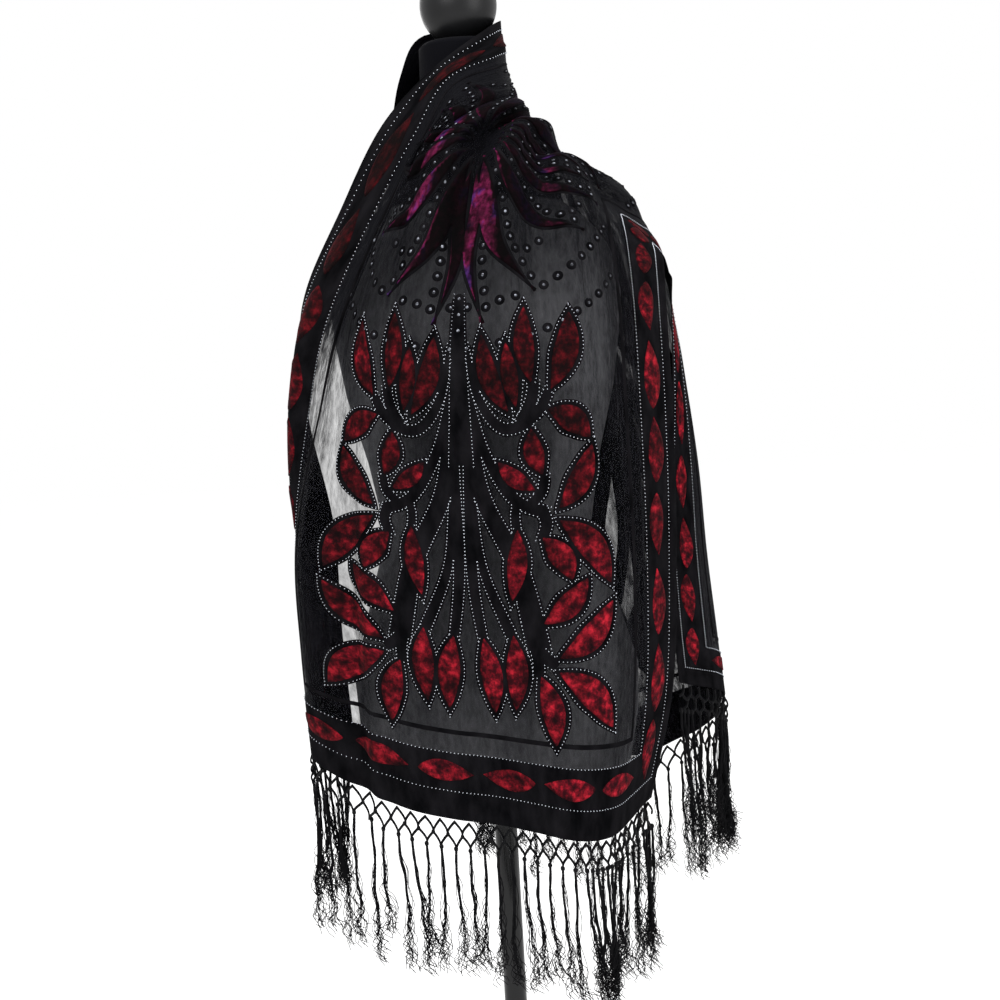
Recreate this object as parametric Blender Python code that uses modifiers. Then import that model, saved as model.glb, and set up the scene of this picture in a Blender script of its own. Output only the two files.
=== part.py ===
"""Velvet shawl with a knotted fringe, draped over a limbless dress form on a stand.

Metres, +Z up, the front faces -Y. The floor is z = 0 and the form's pole stands on the Z axis.
"""

import math

import bpy
import numpy as np

# Driving sizes
BASE_RADIUS = 0.180
BASE_HEIGHT = 0.022
BASE_EDGE = 0.004
POLE_RADIUS = 0.014
NECK_TOP = 1.540
KNOB_RADIUS = 0.046
KNOB_HEIGHT = 0.094
KNOB_FLAT_AT = 0.985
KNOB_RINGS = 14
SEAM = 0.0004
BESIDE_SEAM_CM = 0.3

CLOTH_WIDTH = 0.56
CLOTH_LENGTH = 1.60
CLOTH_WALL = 0.0016
FORM_CLEARANCE = 0.0031
CM = 0.01
STEP_CM = 0.5

FRINGE_PITCH = 0.0159
FRINGE_WALL = 0.0022
FRINGE_STRIP = 0.006
NET_ROW = 0.0155
KNOT_HALF = 0.0030
LOCK_LENGTH = 0.136
LOCK_STEPS = 3

# Torso sections from the underside up: height, half width, half depth, and the centre's y
TORSO_SECTIONS = (
    (0.665, 0.150, 0.092, 0.005),
    (0.672, 0.160, 0.100, 0.005),
    (0.730, 0.171, 0.109, 0.004),
    (0.790, 0.174, 0.112, 0.003),
    (0.880, 0.149, 0.097, 0.000),
    (0.963, 0.125, 0.086, -0.002),
    (1.050, 0.140, 0.099, -0.006),
    (1.130, 0.160, 0.118, -0.012),
    (1.190, 0.170, 0.106, -0.004),
    (1.240, 0.176, 0.088, 0.004),
    (1.285, 0.169, 0.076, 0.009),
    (1.312, 0.156, 0.070, 0.011),
    (1.335, 0.134, 0.066, 0.013),
    (1.358, 0.104, 0.062, 0.013),
    (1.380, 0.077, 0.058, 0.011),
    (1.410, 0.059, 0.054, 0.007),
    (1.450, 0.052, 0.052, 0.003),
    (NECK_TOP - 0.004, 0.050, 0.050, 0.000),
    (NECK_TOP, 0.046, 0.046, 0.000),
)
TORSO_SIDES = 28
TORSO_POWER = 2.3

# Widths across the cloth, in cm from long edge A to long edge B, of the named columns below
COLUMNS_CM = (0.0, 7.0, 18.0, 31.0, 43.5, 56.0)

# Sections along the cloth, in cm: length from the front hem, then the points of the columns
# edge A, turn, left, middle, right and edge B. The front hem comes first, the shoulder ridge is
# at 93 cm and the back hem is last.
SECTIONS_CM = (
    (0, (-18.0, -0.6, 72.5), (-22.4, -6.2, 71.3), (-12.3, -14.1, 67.0),
     (0.4, -16.0, 63.8), (10.9, -14.9, 61.6), (17.6, -6.0, 63.4)),
    (14, (-18.6, -0.4, 85.0), (-22.8, -6.3, 83.4), (-12.6, -14.3, 80.3),
     (0.2, -16.0, 77.4), (12.6, -13.9, 75.7), (20.9, -5.2, 76.2)),
    (30, (-18.8, -0.2, 98.0), (-22.6, -6.2, 96.4), (-12.6, -14.0, 94.8),
     (0.4, -15.7, 93.0), (13.5, -13.0, 92.3), (22.3, -4.2, 93.2)),
    (46, (-20.8, -2.6, 112.5), (-19.2, -9.3, 110.9), (-12.2, -14.1, 109.3),
     (0.8, -16.0, 108.4), (13.8, -13.0, 108.8), (22.7, -4.0, 109.6)),
    (59, (-20.2, -4.8, 124.2), (-15.9, -11.0, 122.0), (-11.2, -13.4, 121.8),
     (1.3, -14.7, 121.6), (14.0, -11.6, 121.7), (22.7, -2.6, 122.4)),
    (70, (-15.2, -6.6, 134.0), (-10.4, -11.0, 132.9), (-7.6, -11.9, 133.0),
     (2.4, -12.4, 132.6), (13.6, -9.4, 131.5), (22.8, -1.2, 127.4)),
    (78, (-8.9, -7.6, 144.4), (-5.2, -10.2, 141.9), (-3.8, -10.6, 141.3),
     (3.9, -10.2, 139.6), (13.4, -7.6, 135.7), (22.7, -0.4, 128.2)),
    (84, (-2.6, -7.2, 150.4), (-1.3, -8.3, 148.2), (1.6, -8.8, 145.2),
     (5.8, -7.7, 142.6), (13.6, -5.2, 137.4), (23.0, 0.5, 128.0)),
    (89, (3.2, -4.7, 154.7), (4.0, -4.6, 151.0), (5.6, -4.6, 147.0),
     (8.6, -3.9, 142.6), (17.1, -1.9, 135.9), (23.3, 1.2, 127.6)),
    (93, (4.7, 0.6, 156.9), (5.2, 0.5, 152.6), (6.5, 0.3, 147.4),
     (9.4, 0.6, 141.6), (19.6, 1.5, 135.0), (23.6, 1.9, 126.8)),
    (97, (1.5, 5.2, 157.0), (3.0, 5.5, 153.0), (6.0, 5.3, 147.8),
     (10.2, 4.6, 141.0), (20.6, 4.3, 133.4), (23.9, 2.4, 125.8)),
    (100, (-4.4, 4.2, 156.6), (-1.0, 7.3, 152.6), (5.0, 7.6, 147.0),
     (11.5, 7.0, 140.3), (20.5, 6.0, 132.3), (24.2, 2.5, 125.3)),
    (104, (-7.4, 0.5, 151.0), (-4.8, 7.2, 147.5), (3.5, 10.0, 141.0),
     (13.5, 9.6, 135.0), (22.6, 6.8, 128.0), (24.0, 2.2, 123.0)),
    (109, (-9.5, 4.5, 142.0), (-5.6, 9.6, 138.0), (4.0, 12.8, 131.0),
     (16.0, 11.5, 126.0), (24.2, 6.5, 121.0), (23.7, 1.4, 118.5)),
    (115, (-10.5, 8.5, 129.0), (-5.0, 12.3, 124.0), (6.0, 15.0, 118.0),
     (18.5, 12.3, 115.0), (25.4, 5.3, 113.0), (23.2, 0.2, 112.0)),
    (124, (-9.8, 12.0, 111.0), (-3.5, 14.8, 107.0), (8.5, 16.3, 102.0),
     (20.5, 12.6, 101.0), (26.6, 4.5, 103.0), (22.2, -1.2, 103.0)),
    (136, (-8.3, 15.0, 94.0), (-1.5, 17.0, 90.0), (11.5, 17.2, 86.0),
     (22.5, 12.3, 87.0), (27.4, 4.5, 91.0), (21.5, -2.2, 93.0)),
    (148, (-6.8, 17.5, 80.0), (0.5, 19.0, 76.5), (13.5, 18.5, 73.0),
     (24.3, 12.8, 75.5), (28.2, 4.2, 81.0), (21.6, -2.6, 84.0)),
    (160, (-5.5, 19.0, 70.0), (1.5, 20.5, 66.0), (14.5, 20.0, 62.0),
     (25.2, 13.4, 66.0), (28.8, 4.5, 72.8), (22.0, -2.6, 76.4)),
)

# Roll of the cloth beside edge A, in cm: length from the front hem and how far it bulges to -X
ROLL_CM = ((0, 0.2), (26, 0.4), (36, 1.9), (46, 2.2), (56, 1.6), (66, 0.8), (76, 0.2), (84, 0.0))

# Folds, in cm: place across the cloth at the low and the high end, length of both ends from the
# front hem, half width and depth. A positive depth stands out of the cloth.
FOLDS_CM = (
    (10.0, 11.0, -10.0, 86.0, 2.0, 0.5),
    (17.0, 17.0, 20.0, 92.0, 2.2, 0.6),
    (23.5, 22.0, 46.0, 104.0, 1.9, 1.0),
    (28.5, 27.0, 56.0, 106.0, 1.7, -1.3),
    (33.0, 31.5, 50.0, 110.0, 1.7, 1.5),
    (37.5, 36.0, 54.0, 110.0, 1.8, -1.4),
    (42.0, 41.0, 58.0, 112.0, 1.8, 0.7),
    (47.0, 46.5, 30.0, 112.0, 2.0, -0.7),
    (20.0, 21.0, -20.0, 38.0, 3.0, 0.6),
    (30.0, 31.0, -20.0, 44.0, 3.2, -0.7),
    (40.0, 41.0, -20.0, 52.0, 3.0, 0.7),
    (12.0, 14.0, 108.0, 180.0, 3.0, 1.1),
    (22.0, 22.0, 104.0, 180.0, 3.0, -1.2),
    (31.0, 30.0, 104.0, 180.0, 2.8, 1.1),
    (38.0, 37.0, 104.0, 180.0, 2.6, -0.9),
)

# Stretches of the cloth: name, length from the front hem in cm at both ends, and rows of cells
STRETCHES = (
    ("shawl_front_panel", 0.0, 78.0, 22),
    ("shawl_shoulder_wrap", 78.0, 109.0, 23),
    ("shawl_back_panel", 109.0, 160.0, 14),
)
CELLS_ACROSS = 25

# Colour, roughness and metallic value of each material
BLACK_VELVET = ((0.010, 0.009, 0.012), 0.85, 0.0)
FRINGE_BLACK = ((0.012, 0.012, 0.014), 0.60, 0.0)
JERSEY_BLACK = ((0.030, 0.030, 0.033), 0.90, 0.0)
GLOSS_BLACK = ((0.006, 0.006, 0.007), 0.18, 0.0)


def material(name, look):
    """A Principled material with a colour, a roughness and a metallic value."""
    colour, roughness, metallic = look
    made = bpy.data.materials.new(name)
    made.use_nodes = True
    shader = made.node_tree.nodes["Principled BSDF"]
    shader.inputs["Base Color"].default_value = (*colour, 1.0)
    shader.inputs["Roughness"].default_value = roughness
    shader.inputs["Metallic"].default_value = metallic
    return made


def blended(knots, values, places):
    """Smooth values at the places, through the rows of values at the knots (cubic Hermite)."""
    knots = np.asarray(knots, float)
    values = np.asarray(values, float)
    places = np.asarray(places, float)
    slopes = np.gradient(values, knots, axis=0)
    cell = np.clip(np.searchsorted(knots, places, side="right") - 1, 0, len(knots) - 2)
    step = knots[cell + 1] - knots[cell]
    part = (places - knots[cell]) / step
    shape = (-1,) + (1,) * (values.ndim - 1)
    part = part.reshape(shape)
    step = step.reshape(shape)
    square, cube = part**2, part**3
    return (
        (2 * cube - 3 * square + 1) * values[cell]
        + (cube - 2 * square + part) * step * slopes[cell]
        + (3 * square - 2 * cube) * values[cell + 1]
        + (cube - square) * step * slopes[cell + 1]
    )


def fold_height(across_cm, along_cm):
    """How far the folds push the cloth out at a grid of places, in cm."""
    height = np.zeros((len(along_cm), len(across_cm)))
    for low_place, high_place, low, high, half_width, depth in FOLDS_CM:
        part = (along_cm - low) / (high - low)
        fade = np.where((part > 0) & (part < 1), np.sin(math.pi * np.clip(part, 0, 1)), 0.0)
        centre = low_place + (high_place - low_place) * part
        offset = (across_cm[None, :] - centre[:, None]) / half_width
        height += depth * fade[:, None] * np.exp(-0.5 * offset**2)
    return height


def torso_reach(height, angle):
    """Distance from the torso's own centre to its surface, and that centre's y, by height."""
    table = np.array(TORSO_SECTIONS)
    heights = table[:, 0]
    half_width, half_depth, centre = (np.interp(height, heights, table[:, i]) for i in (1, 2, 3))
    reach = (
        np.abs(np.cos(angle) / half_width) ** TORSO_POWER
        + np.abs(np.sin(angle) / half_depth) ** TORSO_POWER
    ) ** (-1 / TORSO_POWER)
    return reach, centre


def clear_of_form(points):
    """The points, moved out level where they would lie in the form or too close to it."""
    height = points[..., 2]
    centre = torso_reach(height, np.zeros_like(height))[1]
    level = np.stack([points[..., 0], points[..., 1] - centre], axis=-1)
    angle = np.arctan2(level[..., 1], level[..., 0])
    distance = np.linalg.norm(level, axis=-1)
    least = torso_reach(height, angle)[0] + FORM_CLEARANCE
    moved = np.maximum(distance, least) / np.maximum(distance, 1e-6)
    result = points.copy()
    result[..., 0] = level[..., 0] * moved
    result[..., 1] = level[..., 1] * moved + centre
    return result


def smooth_points(across_cm, along_cm):
    """Points of the cloth without its folds, a row for each length and a column for each width."""
    knots = [row[0] for row in SECTIONS_CM]
    table = np.array([row[1:] for row in SECTIONS_CM]) * CM
    rows = blended(knots, table, along_cm)
    points = np.stack([blended(COLUMNS_CM, row, across_cm) for row in rows])
    lengths, bulges = np.array(ROLL_CM).T
    roll = np.interp(along_cm, lengths, bulges)[:, None] * CM
    points[..., 0] -= roll * np.sin(math.pi * np.clip(across_cm / COLUMNS_CM[1], 0, 1)) ** 2
    return points


def cloth_points(across_cm, along_cm):
    """Points of the cloth's middle surface, a row for each length and a column for each width."""
    further = smooth_points(across_cm, along_cm + STEP_CM)
    nearer = smooth_points(across_cm, along_cm - STEP_CM)
    right = smooth_points(across_cm + STEP_CM, along_cm)
    left = smooth_points(across_cm - STEP_CM, along_cm)
    normal = np.cross(right - left, further - nearer)
    normal /= np.linalg.norm(normal, axis=2, keepdims=True)
    rise = fold_height(across_cm, along_cm)[..., None] * CM
    return clear_of_form(smooth_points(across_cm, along_cm) + normal * rise)


def mesh_object(name, points, faces, look, collection):
    """A mesh object from points and faces, with its material, in the collection."""
    mesh = bpy.data.meshes.new(name)
    mesh.from_pydata([tuple(point) for point in points], [], faces)
    mesh.update()
    mesh.shade_smooth()
    mesh.materials.append(look)
    made = bpy.data.objects.new(name, mesh)
    collection.objects.link(made)
    return made


def solid_wall(sheet, thickness):
    """Gives an open sheet its wall, half of it on each side."""
    wall = sheet.modifiers.new("Wall", "SOLIDIFY")
    wall.thickness = thickness
    wall.offset = 0.0
    wall.use_even_offset = False


def grid_faces(rows, columns):
    """Quads over a grid of points, a row of points after another."""
    return [
        (r * columns + c, r * columns + c + 1, (r + 1) * columns + c + 1, (r + 1) * columns + c)
        for r in range(rows - 1)
        for c in range(columns - 1)
    ]


def build_cloth(look, collection):
    """The three stretches of the shawl, parted by a narrow seam."""
    across = np.linspace(0.0, CLOTH_WIDTH / CM, CELLS_ACROSS + 1)
    for name, low, high, cells in STRETCHES:
        along = np.linspace(low + SEAM / CM / 2, high - SEAM / CM / 2, cells + 1)
        beside_seams = (along[0] + BESIDE_SEAM_CM, along[-1] - BESIDE_SEAM_CM)
        along = np.sort(np.append(along, beside_seams))
        points = cloth_points(across, along)
        faces = grid_faces(*points.shape[:2])
        solid_wall(mesh_object(name, points.reshape(-1, 3), faces, look, collection), CLOTH_WALL)


def build_torso(look, collection):
    """A closed loft through the torso's sections."""
    angles = np.arange(TORSO_SIDES) * 2 * math.pi / TORSO_SIDES
    points = []
    for height, *_ in TORSO_SECTIONS:
        reach, centre = torso_reach(np.full(TORSO_SIDES, height), angles)
        points += [
            (r * math.cos(a), r * math.sin(a) + c, height) for r, a, c in zip(reach, angles, centre)
        ]
    faces = []
    for row in range(len(TORSO_SECTIONS) - 1):
        for side in range(TORSO_SIDES):
            after = (side + 1) % TORSO_SIDES
            low, high = row * TORSO_SIDES, (row + 1) * TORSO_SIDES
            faces.append((low + side, low + after, high + after, high + side))
    faces.append(tuple(range(TORSO_SIDES))[::-1])
    top = (len(TORSO_SECTIONS) - 1) * TORSO_SIDES
    faces.append(tuple(range(top, top + TORSO_SIDES)))
    mesh_object("form_torso", points, faces, look, collection)


def turned(name, profile, steps, look, collection):
    """A turned solid from a profile of (radius, height) that runs from the top down."""
    points = [(radius, 0.0, height) for radius, height in profile]
    mesh = bpy.data.meshes.new(name)
    mesh.from_pydata(points, [(i, i + 1) for i in range(len(points) - 1)], [])
    mesh.materials.append(look)
    made = bpy.data.objects.new(name, mesh)
    collection.objects.link(made)
    screw = made.modifiers.new("Turn", "SCREW")
    screw.steps = screw.render_steps = steps
    screw.use_merge_vertices = True
    screw.merge_threshold = 0.00001
    screw.use_smooth_shade = True
    return made


def build_stand(look, collection):
    """The neck knob, the pole and the base plate."""
    middle = NECK_TOP + SEAM + KNOB_HEIGHT / 2
    arc = [math.pi / 2 - i * math.pi / KNOB_RINGS for i in range(1, KNOB_RINGS)]
    knob = [(0.0, middle + KNOB_HEIGHT / 2)]
    knob += [
        (KNOB_RADIUS * math.cos(a), middle + KNOB_HEIGHT / 2 * math.sin(a))
        for a in arc
        if math.sin(a) > -KNOB_FLAT_AT + 0.02
    ]
    knob.append((KNOB_RADIUS * math.cos(math.asin(KNOB_FLAT_AT)), NECK_TOP + SEAM))
    knob.append((0.0, NECK_TOP + SEAM))
    turned("neck_knob", knob, 28, look, collection)
    low, high = BASE_HEIGHT + SEAM, TORSO_SECTIONS[0][0] - SEAM
    pole = [(0.0, high), (POLE_RADIUS, high), (POLE_RADIUS, low), (0.0, low)]
    turned("stand_pole", pole, 20, look, collection)
    plate = [
        (0.0, BASE_HEIGHT),
        (POLE_RADIUS * 2, BASE_HEIGHT),
        (BASE_RADIUS - 3 * BASE_EDGE, BASE_HEIGHT * 0.55),
        (BASE_RADIUS - BASE_EDGE / 2, BASE_HEIGHT * 0.45),
        (BASE_RADIUS, BASE_HEIGHT * 0.30),
        (BASE_RADIUS, 0.0),
        (0.0, 0.0),
    ]
    turned("stand_base", plate, 40, look, collection)


class Net:
    """A flat fringe: its points by length along the hem, drop below it and lock, and its faces."""

    def __init__(self):
        self.places = []
        self.faces = []

    def add(self, along, drop, lock=-1):
        self.places.append((along, drop, lock))
        return len(self.places) - 1


def fringe_net(count):
    """A strip, two rows of knotted net cells, and a lock under each lower knot."""
    net = Net()
    pitch = FRINGE_PITCH
    strip = []
    for i in range(count + 1):
        centre = i * pitch
        sides = (centre - KNOT_HALF, centre + KNOT_HALF)
        strip.append([(net.add(x, 0.0), net.add(x, FRINGE_STRIP)) for x in sides])
    for i in range(count + 1):
        (t0, b0), (t1, b1) = strip[i]
        net.faces.append((t0, b0, b1, t1))
        if i < count:
            t2, b2 = strip[i + 1][0]
            net.faces.append((t1, b1, b2, t2))
    upper = []
    for i in range(count):
        centre, drop = (i + 0.5) * pitch, FRINGE_STRIP + NET_ROW
        knot = {
            "top": net.add(centre, drop - KNOT_HALF),
            "left": net.add(centre - KNOT_HALF, drop),
            "low": net.add(centre, drop + KNOT_HALF),
            "right": net.add(centre + KNOT_HALF, drop),
        }
        upper.append(knot)
        net.faces.append((knot["top"], knot["left"], knot["low"], knot["right"]))
    stems = {}
    for i in range(count + 1):
        (_, left), (_, right) = strip[i]
        stems[i] = net.add(i * pitch, FRINGE_STRIP + KNOT_HALF)
        net.faces.append((left, stems[i], right))
        if i > 0:
            knot = upper[i - 1]
            net.faces.append((left, knot["top"], knot["right"], stems[i]))
        if i < count:
            knot = upper[i]
            net.faces.append((stems[i], knot["left"], knot["top"], right))
    for i in range(count + 1):
        drop = FRINGE_STRIP + 2 * NET_ROW
        centre = i * pitch
        top = net.add(centre, drop - KNOT_HALF)
        left = net.add(centre - KNOT_HALF, drop)
        right = net.add(centre + KNOT_HALF, drop)
        net.faces.append((top, left, right))
        if i > 0:
            knot = upper[i - 1]
            net.faces.append((knot["low"], left, top, knot["right"]))
        if i < count:
            knot = upper[i]
            net.faces.append((knot["left"], top, right, knot["low"]))
        length = LOCK_LENGTH * (1.0 + 0.10 * math.sin(2.4 * i))
        for step in range(1, LOCK_STEPS + 1):
            part = step / LOCK_STEPS
            half = KNOT_HALF * (0.95 - 0.35 * abs(part - 0.55))
            low_left = net.add(centre - half, drop + length * part, i)
            low_right = net.add(centre + half, drop + length * part, i)
            net.faces.append((left, low_left, low_right, right))
            left, right = low_left, low_right
    return net


def build_fringe(name, end_cm, look, collection):
    """The fringe below one end of the cloth, hung from the curve of that hem."""
    count = round(CLOTH_WIDTH / FRINGE_PITCH) - 1
    margin = (CLOTH_WIDTH - count * FRINGE_PITCH) / 2 - KNOT_HALF
    net = fringe_net(count)
    across = np.linspace(0.0, CLOTH_WIDTH / CM, CELLS_ACROSS + 1)
    edge = cloth_points(across, np.array([end_cm]))[0]
    chord = np.gradient(edge, axis=0)
    outward = np.stack([chord[:, 1], -chord[:, 0], 0 * chord[:, 0]], axis=1)
    outward /= np.linalg.norm(outward, axis=1, keepdims=True)
    points = []
    for along, drop, lock in net.places:
        place = (margin + KNOT_HALF + along) / CM
        at = [np.interp(place, across, edge[:, i]) for i in range(3)]
        out = [np.interp(place, across, outward[:, i]) for i in range(3)]
        below = max(0.0, drop - FRINGE_STRIP - 2 * NET_ROW)
        sway = 0.030 * below * math.sin(1.9 * lock) if lock >= 0 else 0.0
        x = at[0] + out[0] * sway
        y = at[1] + out[1] * sway
        points.append((x, y, at[2] - SEAM - drop))
    solid = mesh_object(name, points, net.faces, look, collection)
    solid_wall(solid, FRINGE_WALL)


def main():
    for thing in list(bpy.data.objects):
        bpy.data.objects.remove(thing)
    collection = bpy.data.collections.new("velvet_shawl_on_dress_form")
    bpy.context.scene.collection.children.link(collection)
    velvet = material("black velvet", BLACK_VELVET)
    fringe = material("black fringe thread", FRINGE_BLACK)
    jersey = material("black jersey", JERSEY_BLACK)
    gloss = material("black gloss", GLOSS_BLACK)
    build_torso(jersey, collection)
    build_stand(gloss, collection)
    build_cloth(velvet, collection)
    build_fringe("front_fringe", 0.0, fringe, collection)
    build_fringe("back_fringe", CLOTH_LENGTH / CM, fringe, collection)


main()
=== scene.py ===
"""The looks of a sheer black shawl with velvet leaves, beads and fringe, draped on a dress form.

Metres, +Z up, the front faces -Y. The cloth's own places are in cm: u runs across it from long
edge A to long edge B, and v runs along it from the front hem to the back hem.
"""

import math

import bmesh
import bpy
import numpy as np
from mathutils import Matrix, Vector, geometry


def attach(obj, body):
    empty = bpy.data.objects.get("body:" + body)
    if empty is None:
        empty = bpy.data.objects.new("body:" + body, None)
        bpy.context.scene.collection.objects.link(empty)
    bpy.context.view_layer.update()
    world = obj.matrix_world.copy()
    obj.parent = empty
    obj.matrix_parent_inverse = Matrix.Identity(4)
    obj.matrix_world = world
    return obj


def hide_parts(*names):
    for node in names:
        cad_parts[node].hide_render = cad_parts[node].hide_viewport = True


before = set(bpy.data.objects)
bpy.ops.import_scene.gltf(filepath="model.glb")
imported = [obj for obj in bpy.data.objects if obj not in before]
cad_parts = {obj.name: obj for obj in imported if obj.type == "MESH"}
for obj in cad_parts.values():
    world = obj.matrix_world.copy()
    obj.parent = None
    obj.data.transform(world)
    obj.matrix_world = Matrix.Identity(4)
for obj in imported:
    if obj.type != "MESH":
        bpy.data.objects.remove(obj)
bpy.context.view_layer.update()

CM = 0.01
MM = 0.001

# The stand, in metres. The knob's foot is cut flat at that share of its half height.
BASE_RADIUS = 0.180
BASE_HEIGHT = 0.022
BASE_EDGE = 0.004
POLE_RADIUS = 0.014
NECK_TOP = 1.540
KNOB_RADIUS = 0.046
KNOB_HEIGHT = 0.094
KNOB_FLAT_AT = 0.985
KNOB_RINGS = 48
SEAM = 0.0004

# How finely the form and its stand are made
TORSO_SIDES = 96
TORSO_ROWS = 140
HEIGHT_DIGITS = 5
KNOB_SIDES = 72
POLE_SIDES = 40
BASE_SIDES = 120
TURNED_SHARP = math.radians(40)

# The base plate's rim from above: how many BASE_EDGE in from the side, and share of its height
BASE_RIM = ((3.0, 0.55), (0.5, 0.45), (0.125, 0.38), (0.0, 0.30))

# The cloth, in cm, and its least distance from the form, in metres
CLOTH_WIDTH = 56.0
CLOTH_LENGTH = 160.0
HALF_LENGTH = CLOTH_LENGTH / 2
MIDDLE = CLOTH_WIDTH / 2
FORM_CLEARANCE = 0.0031

# Steps, in cm, for the cloth's slope, in the table of its points and in the sheer sheet. The
# table goes past the cloth by a margin, and LAST_CELL keeps a place inside its last cell.
SLOPE_STEP = 0.5
TABLE_STEP = 0.25
SHEET_STEP = 0.5
TABLE_MARGIN = 1.0
LAST_CELL = 1.001
CM_PER_UV = 10.0

# Least divisor
TINY = 1e-9

# Layout of the flat pattern, in cm: SIDE is along the long edges and END along the hems, and a
# leaf is (length, width). The beads are inside the edges that they follow, and left out further
# than BEAD_HIDDEN inside another shape.
SIDE_MARGIN = 1.7
SIDE_STRIP = 6.2
END_MARGIN = 3.4
END_STRIP = 8.0
LINE_GAP = 2.2
LINE_WIDTH = 0.55
SIDE_LEAF = (7.5, 2.7)
SIDE_LEAF_COUNT = 18
SIDE_LEAF_BOW = 0.2
FIRST_SIDE_LEAF = 7.7
END_LEAF = (6.2, 2.6)
END_LEAF_COUNT = 6
END_LEAF_PITCH = 7.1
END_LEAF_BOW = 0.15
LEAF_RIM = 0.62
LEAF_TIP = 0.2
BEAD_PITCH = 0.42
BEAD_INSET = 0.20
BEAD_HIDDEN = 0.28

# Outlines and the flat meshes over them, in cm. A mesh has a ring of points just inside each
# rim, and a grid of points further in, a little off the outlines' own places.
FEATHER_POINTS = 90
FEATHER_ROUNDNESS = 1.06
OUTLINE_STEP = 0.28
STEM_STEP = 0.3
STEM_END = 0.12
PATCH_STEP = 0.5
FINE_STEP = 0.4
PATCH_INSET = 0.1
PATCH_KEEP = 0.22
GRID_SHIFT = 0.013
MERGE_DISTANCE = 1e-4

# A leaf's spine: part of its length and share of its bow to the left
LEAF_BENDS = ((0.0, 0.0), (0.3, 0.95), (0.55, 1.0), (0.8, 0.25), (1.0, -0.45))

# Unevenness of the borders' leaves: size of a sine and its pace from leaf to leaf
SIZE_WAVE = (0.05, 1.7)
SIDE_BASE_WAVE = (0.12, 3.1)
SIDE_TIP_WAVE = (-0.15, 2.3)
END_BASE_WAVE = (0.12, 2.1)
END_TIP_WAVE = (-0.12, 1.3)
SIDE_LEAF_GROUP = 3
BACKWARD_END_LEAVES = (0, 3, 4)

# The part of a leaf's length at which it is broadest
SPRAY_BELLY = 0.43
SIDE_BELLY = 0.38
PLUME_BELLY = 0.45

# Rings and plumes of the cloth's middle, in cm. The rings in arcs and in the middle column keep
# clear of the inner lines, the plumes and the rings along them.
RING_GAP = 1.75
RING_RADIUS = 0.56
FOIL_RADIUS = 0.40 * RING_RADIUS
RING_SIDES = 14
FOIL_SIDES = 9
RING_ARCS = (11.5, 16.0, 20.5, 25.0)
RING_COLUMN = 5
RING_COLUMN_FROM = 57.0
RING_FROM_LINE = 1.4
RING_FROM_PLUME = 0.6
RING_FROM_RING = 1.2
RING_OFF_PLUME = 0.5
PLUME_RINGS = slice(2, -1)
PLUME_POINTS = 40
PLUME_RIM = 0.30

# Heights over the sheer cloth
PILE = 0.8 * MM
RED_PILE = 1.1 * MM
LINE_PILE = 0.7 * PILE
EDGE_LIFT = 0.15 * MM
FOIL_LIFT = 0.6 * MM

# Beads, whose centres are at that share of the radius over the pile
BEAD_RADIUS = 0.76 * MM
BEAD_SEAT = 0.6

# Fringe, in cm below the hem or along it: its net, its locks and where they are bunched. The
# end knots are just inside the cloth's edges.
FRINGE_PITCH = 1.59
FRINGE_STRIP = 0.6
FRINGE_BUNCHES = ((0.0, 5.5), (40.0, 47.0), (52.0, 56.0))
NET_ROW = 1.55
NET_ROWS = 2
LOCK_LENGTH = 14.6
LOCK_SHARES = (0.82, 1.12)
BUNCH_PULL = 0.5
FRINGE_EDGE = 0.1
FRONT_SEED = 3
BACK_SEED = 8

# Threads, cords and knots of the fringe. A tube's first side faces square to the guide.
TUBE_GUIDE = (0.31, 0.87, 0.12)
ROPE_THREADS = 13
STRAY_THREADS = 4
THREAD_STEPS = 37
THREAD_SIDES = 3
THREAD_RADIUS = 0.45 * MM
CORD_RADIUS = 1.1 * MM
CORD_STEPS = 8
CORD_SIDES = 4
CORD_OFFSET = 0.6 * MM
CORD_BOW = 5.0 * MM
CORD_SAG = 1.2 * MM
CORD_UNEVEN = 0.8 * MM
KNOT_UNEVEN = 1.2 * MM
HEM_KNOT = 1.6 * MM
NET_KNOT = 2.3 * MM
LOCK_KNOT = 2.7 * MM
KNOT_RINGS = 6
KNOT_SIDES = 6
KNOT_STRETCH = 1.2
KNOT_ROUNDNESS = 1.04
SLACK_PLACES = 101

# How a lock falls: its lean, its swings as (waves, size), where its threads open, and how they
# spread and curl below that
FULL_TURN = 6.28
LOCK_LEAN = 4.0 * MM
LEAN_DEPTH = 0.4
LEAN_BEND = 1.3
SWING_SHARES = (0.4, 1.0)
SWING_DEPTH = 0.6
SWING_GROWTH = 0.6
CURL_GROWTH = 0.9
ROPE_SWAY = (0.9, 4.2 * MM)
ROPE_RIPPLE_WAVES = (2.0, 3.4)
ROPE_RIPPLE = 1.3 * MM
ROPE_TURNS = (4.0, 7.0)
ROPE_OPENS = (0.35, 0.75)
STRAY_OPENS = 0.03
ROPE_RADIUS = 1.2 * MM
ROPE_LOOSENESS = 3.5 * MM
SPREAD = (4.2 * MM, 2.8 * MM, 6.0 * MM)
SPREAD_MOST = 1.7
CURL_SIZES = (3.6 * MM, 2.4 * MM, 3.0 * MM)
CURL_WAVES = (2.0, 5.5)

# Places on the flat pattern's UV map: along it where the sheer cloth is gathered towards the
# shoulder, across and along it where the cloth lies double beside the left border, and across
# it at the right border, where the red pile is given painted light
GATHERED_FROM_TO = (5.9, 8.3)
BESIDE_BORDER = (0.95, 1.45)
BESIDE_FROM_TO = (4.9, 5.9)
RIGHT_BORDER = (4.5, 4.9)
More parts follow.
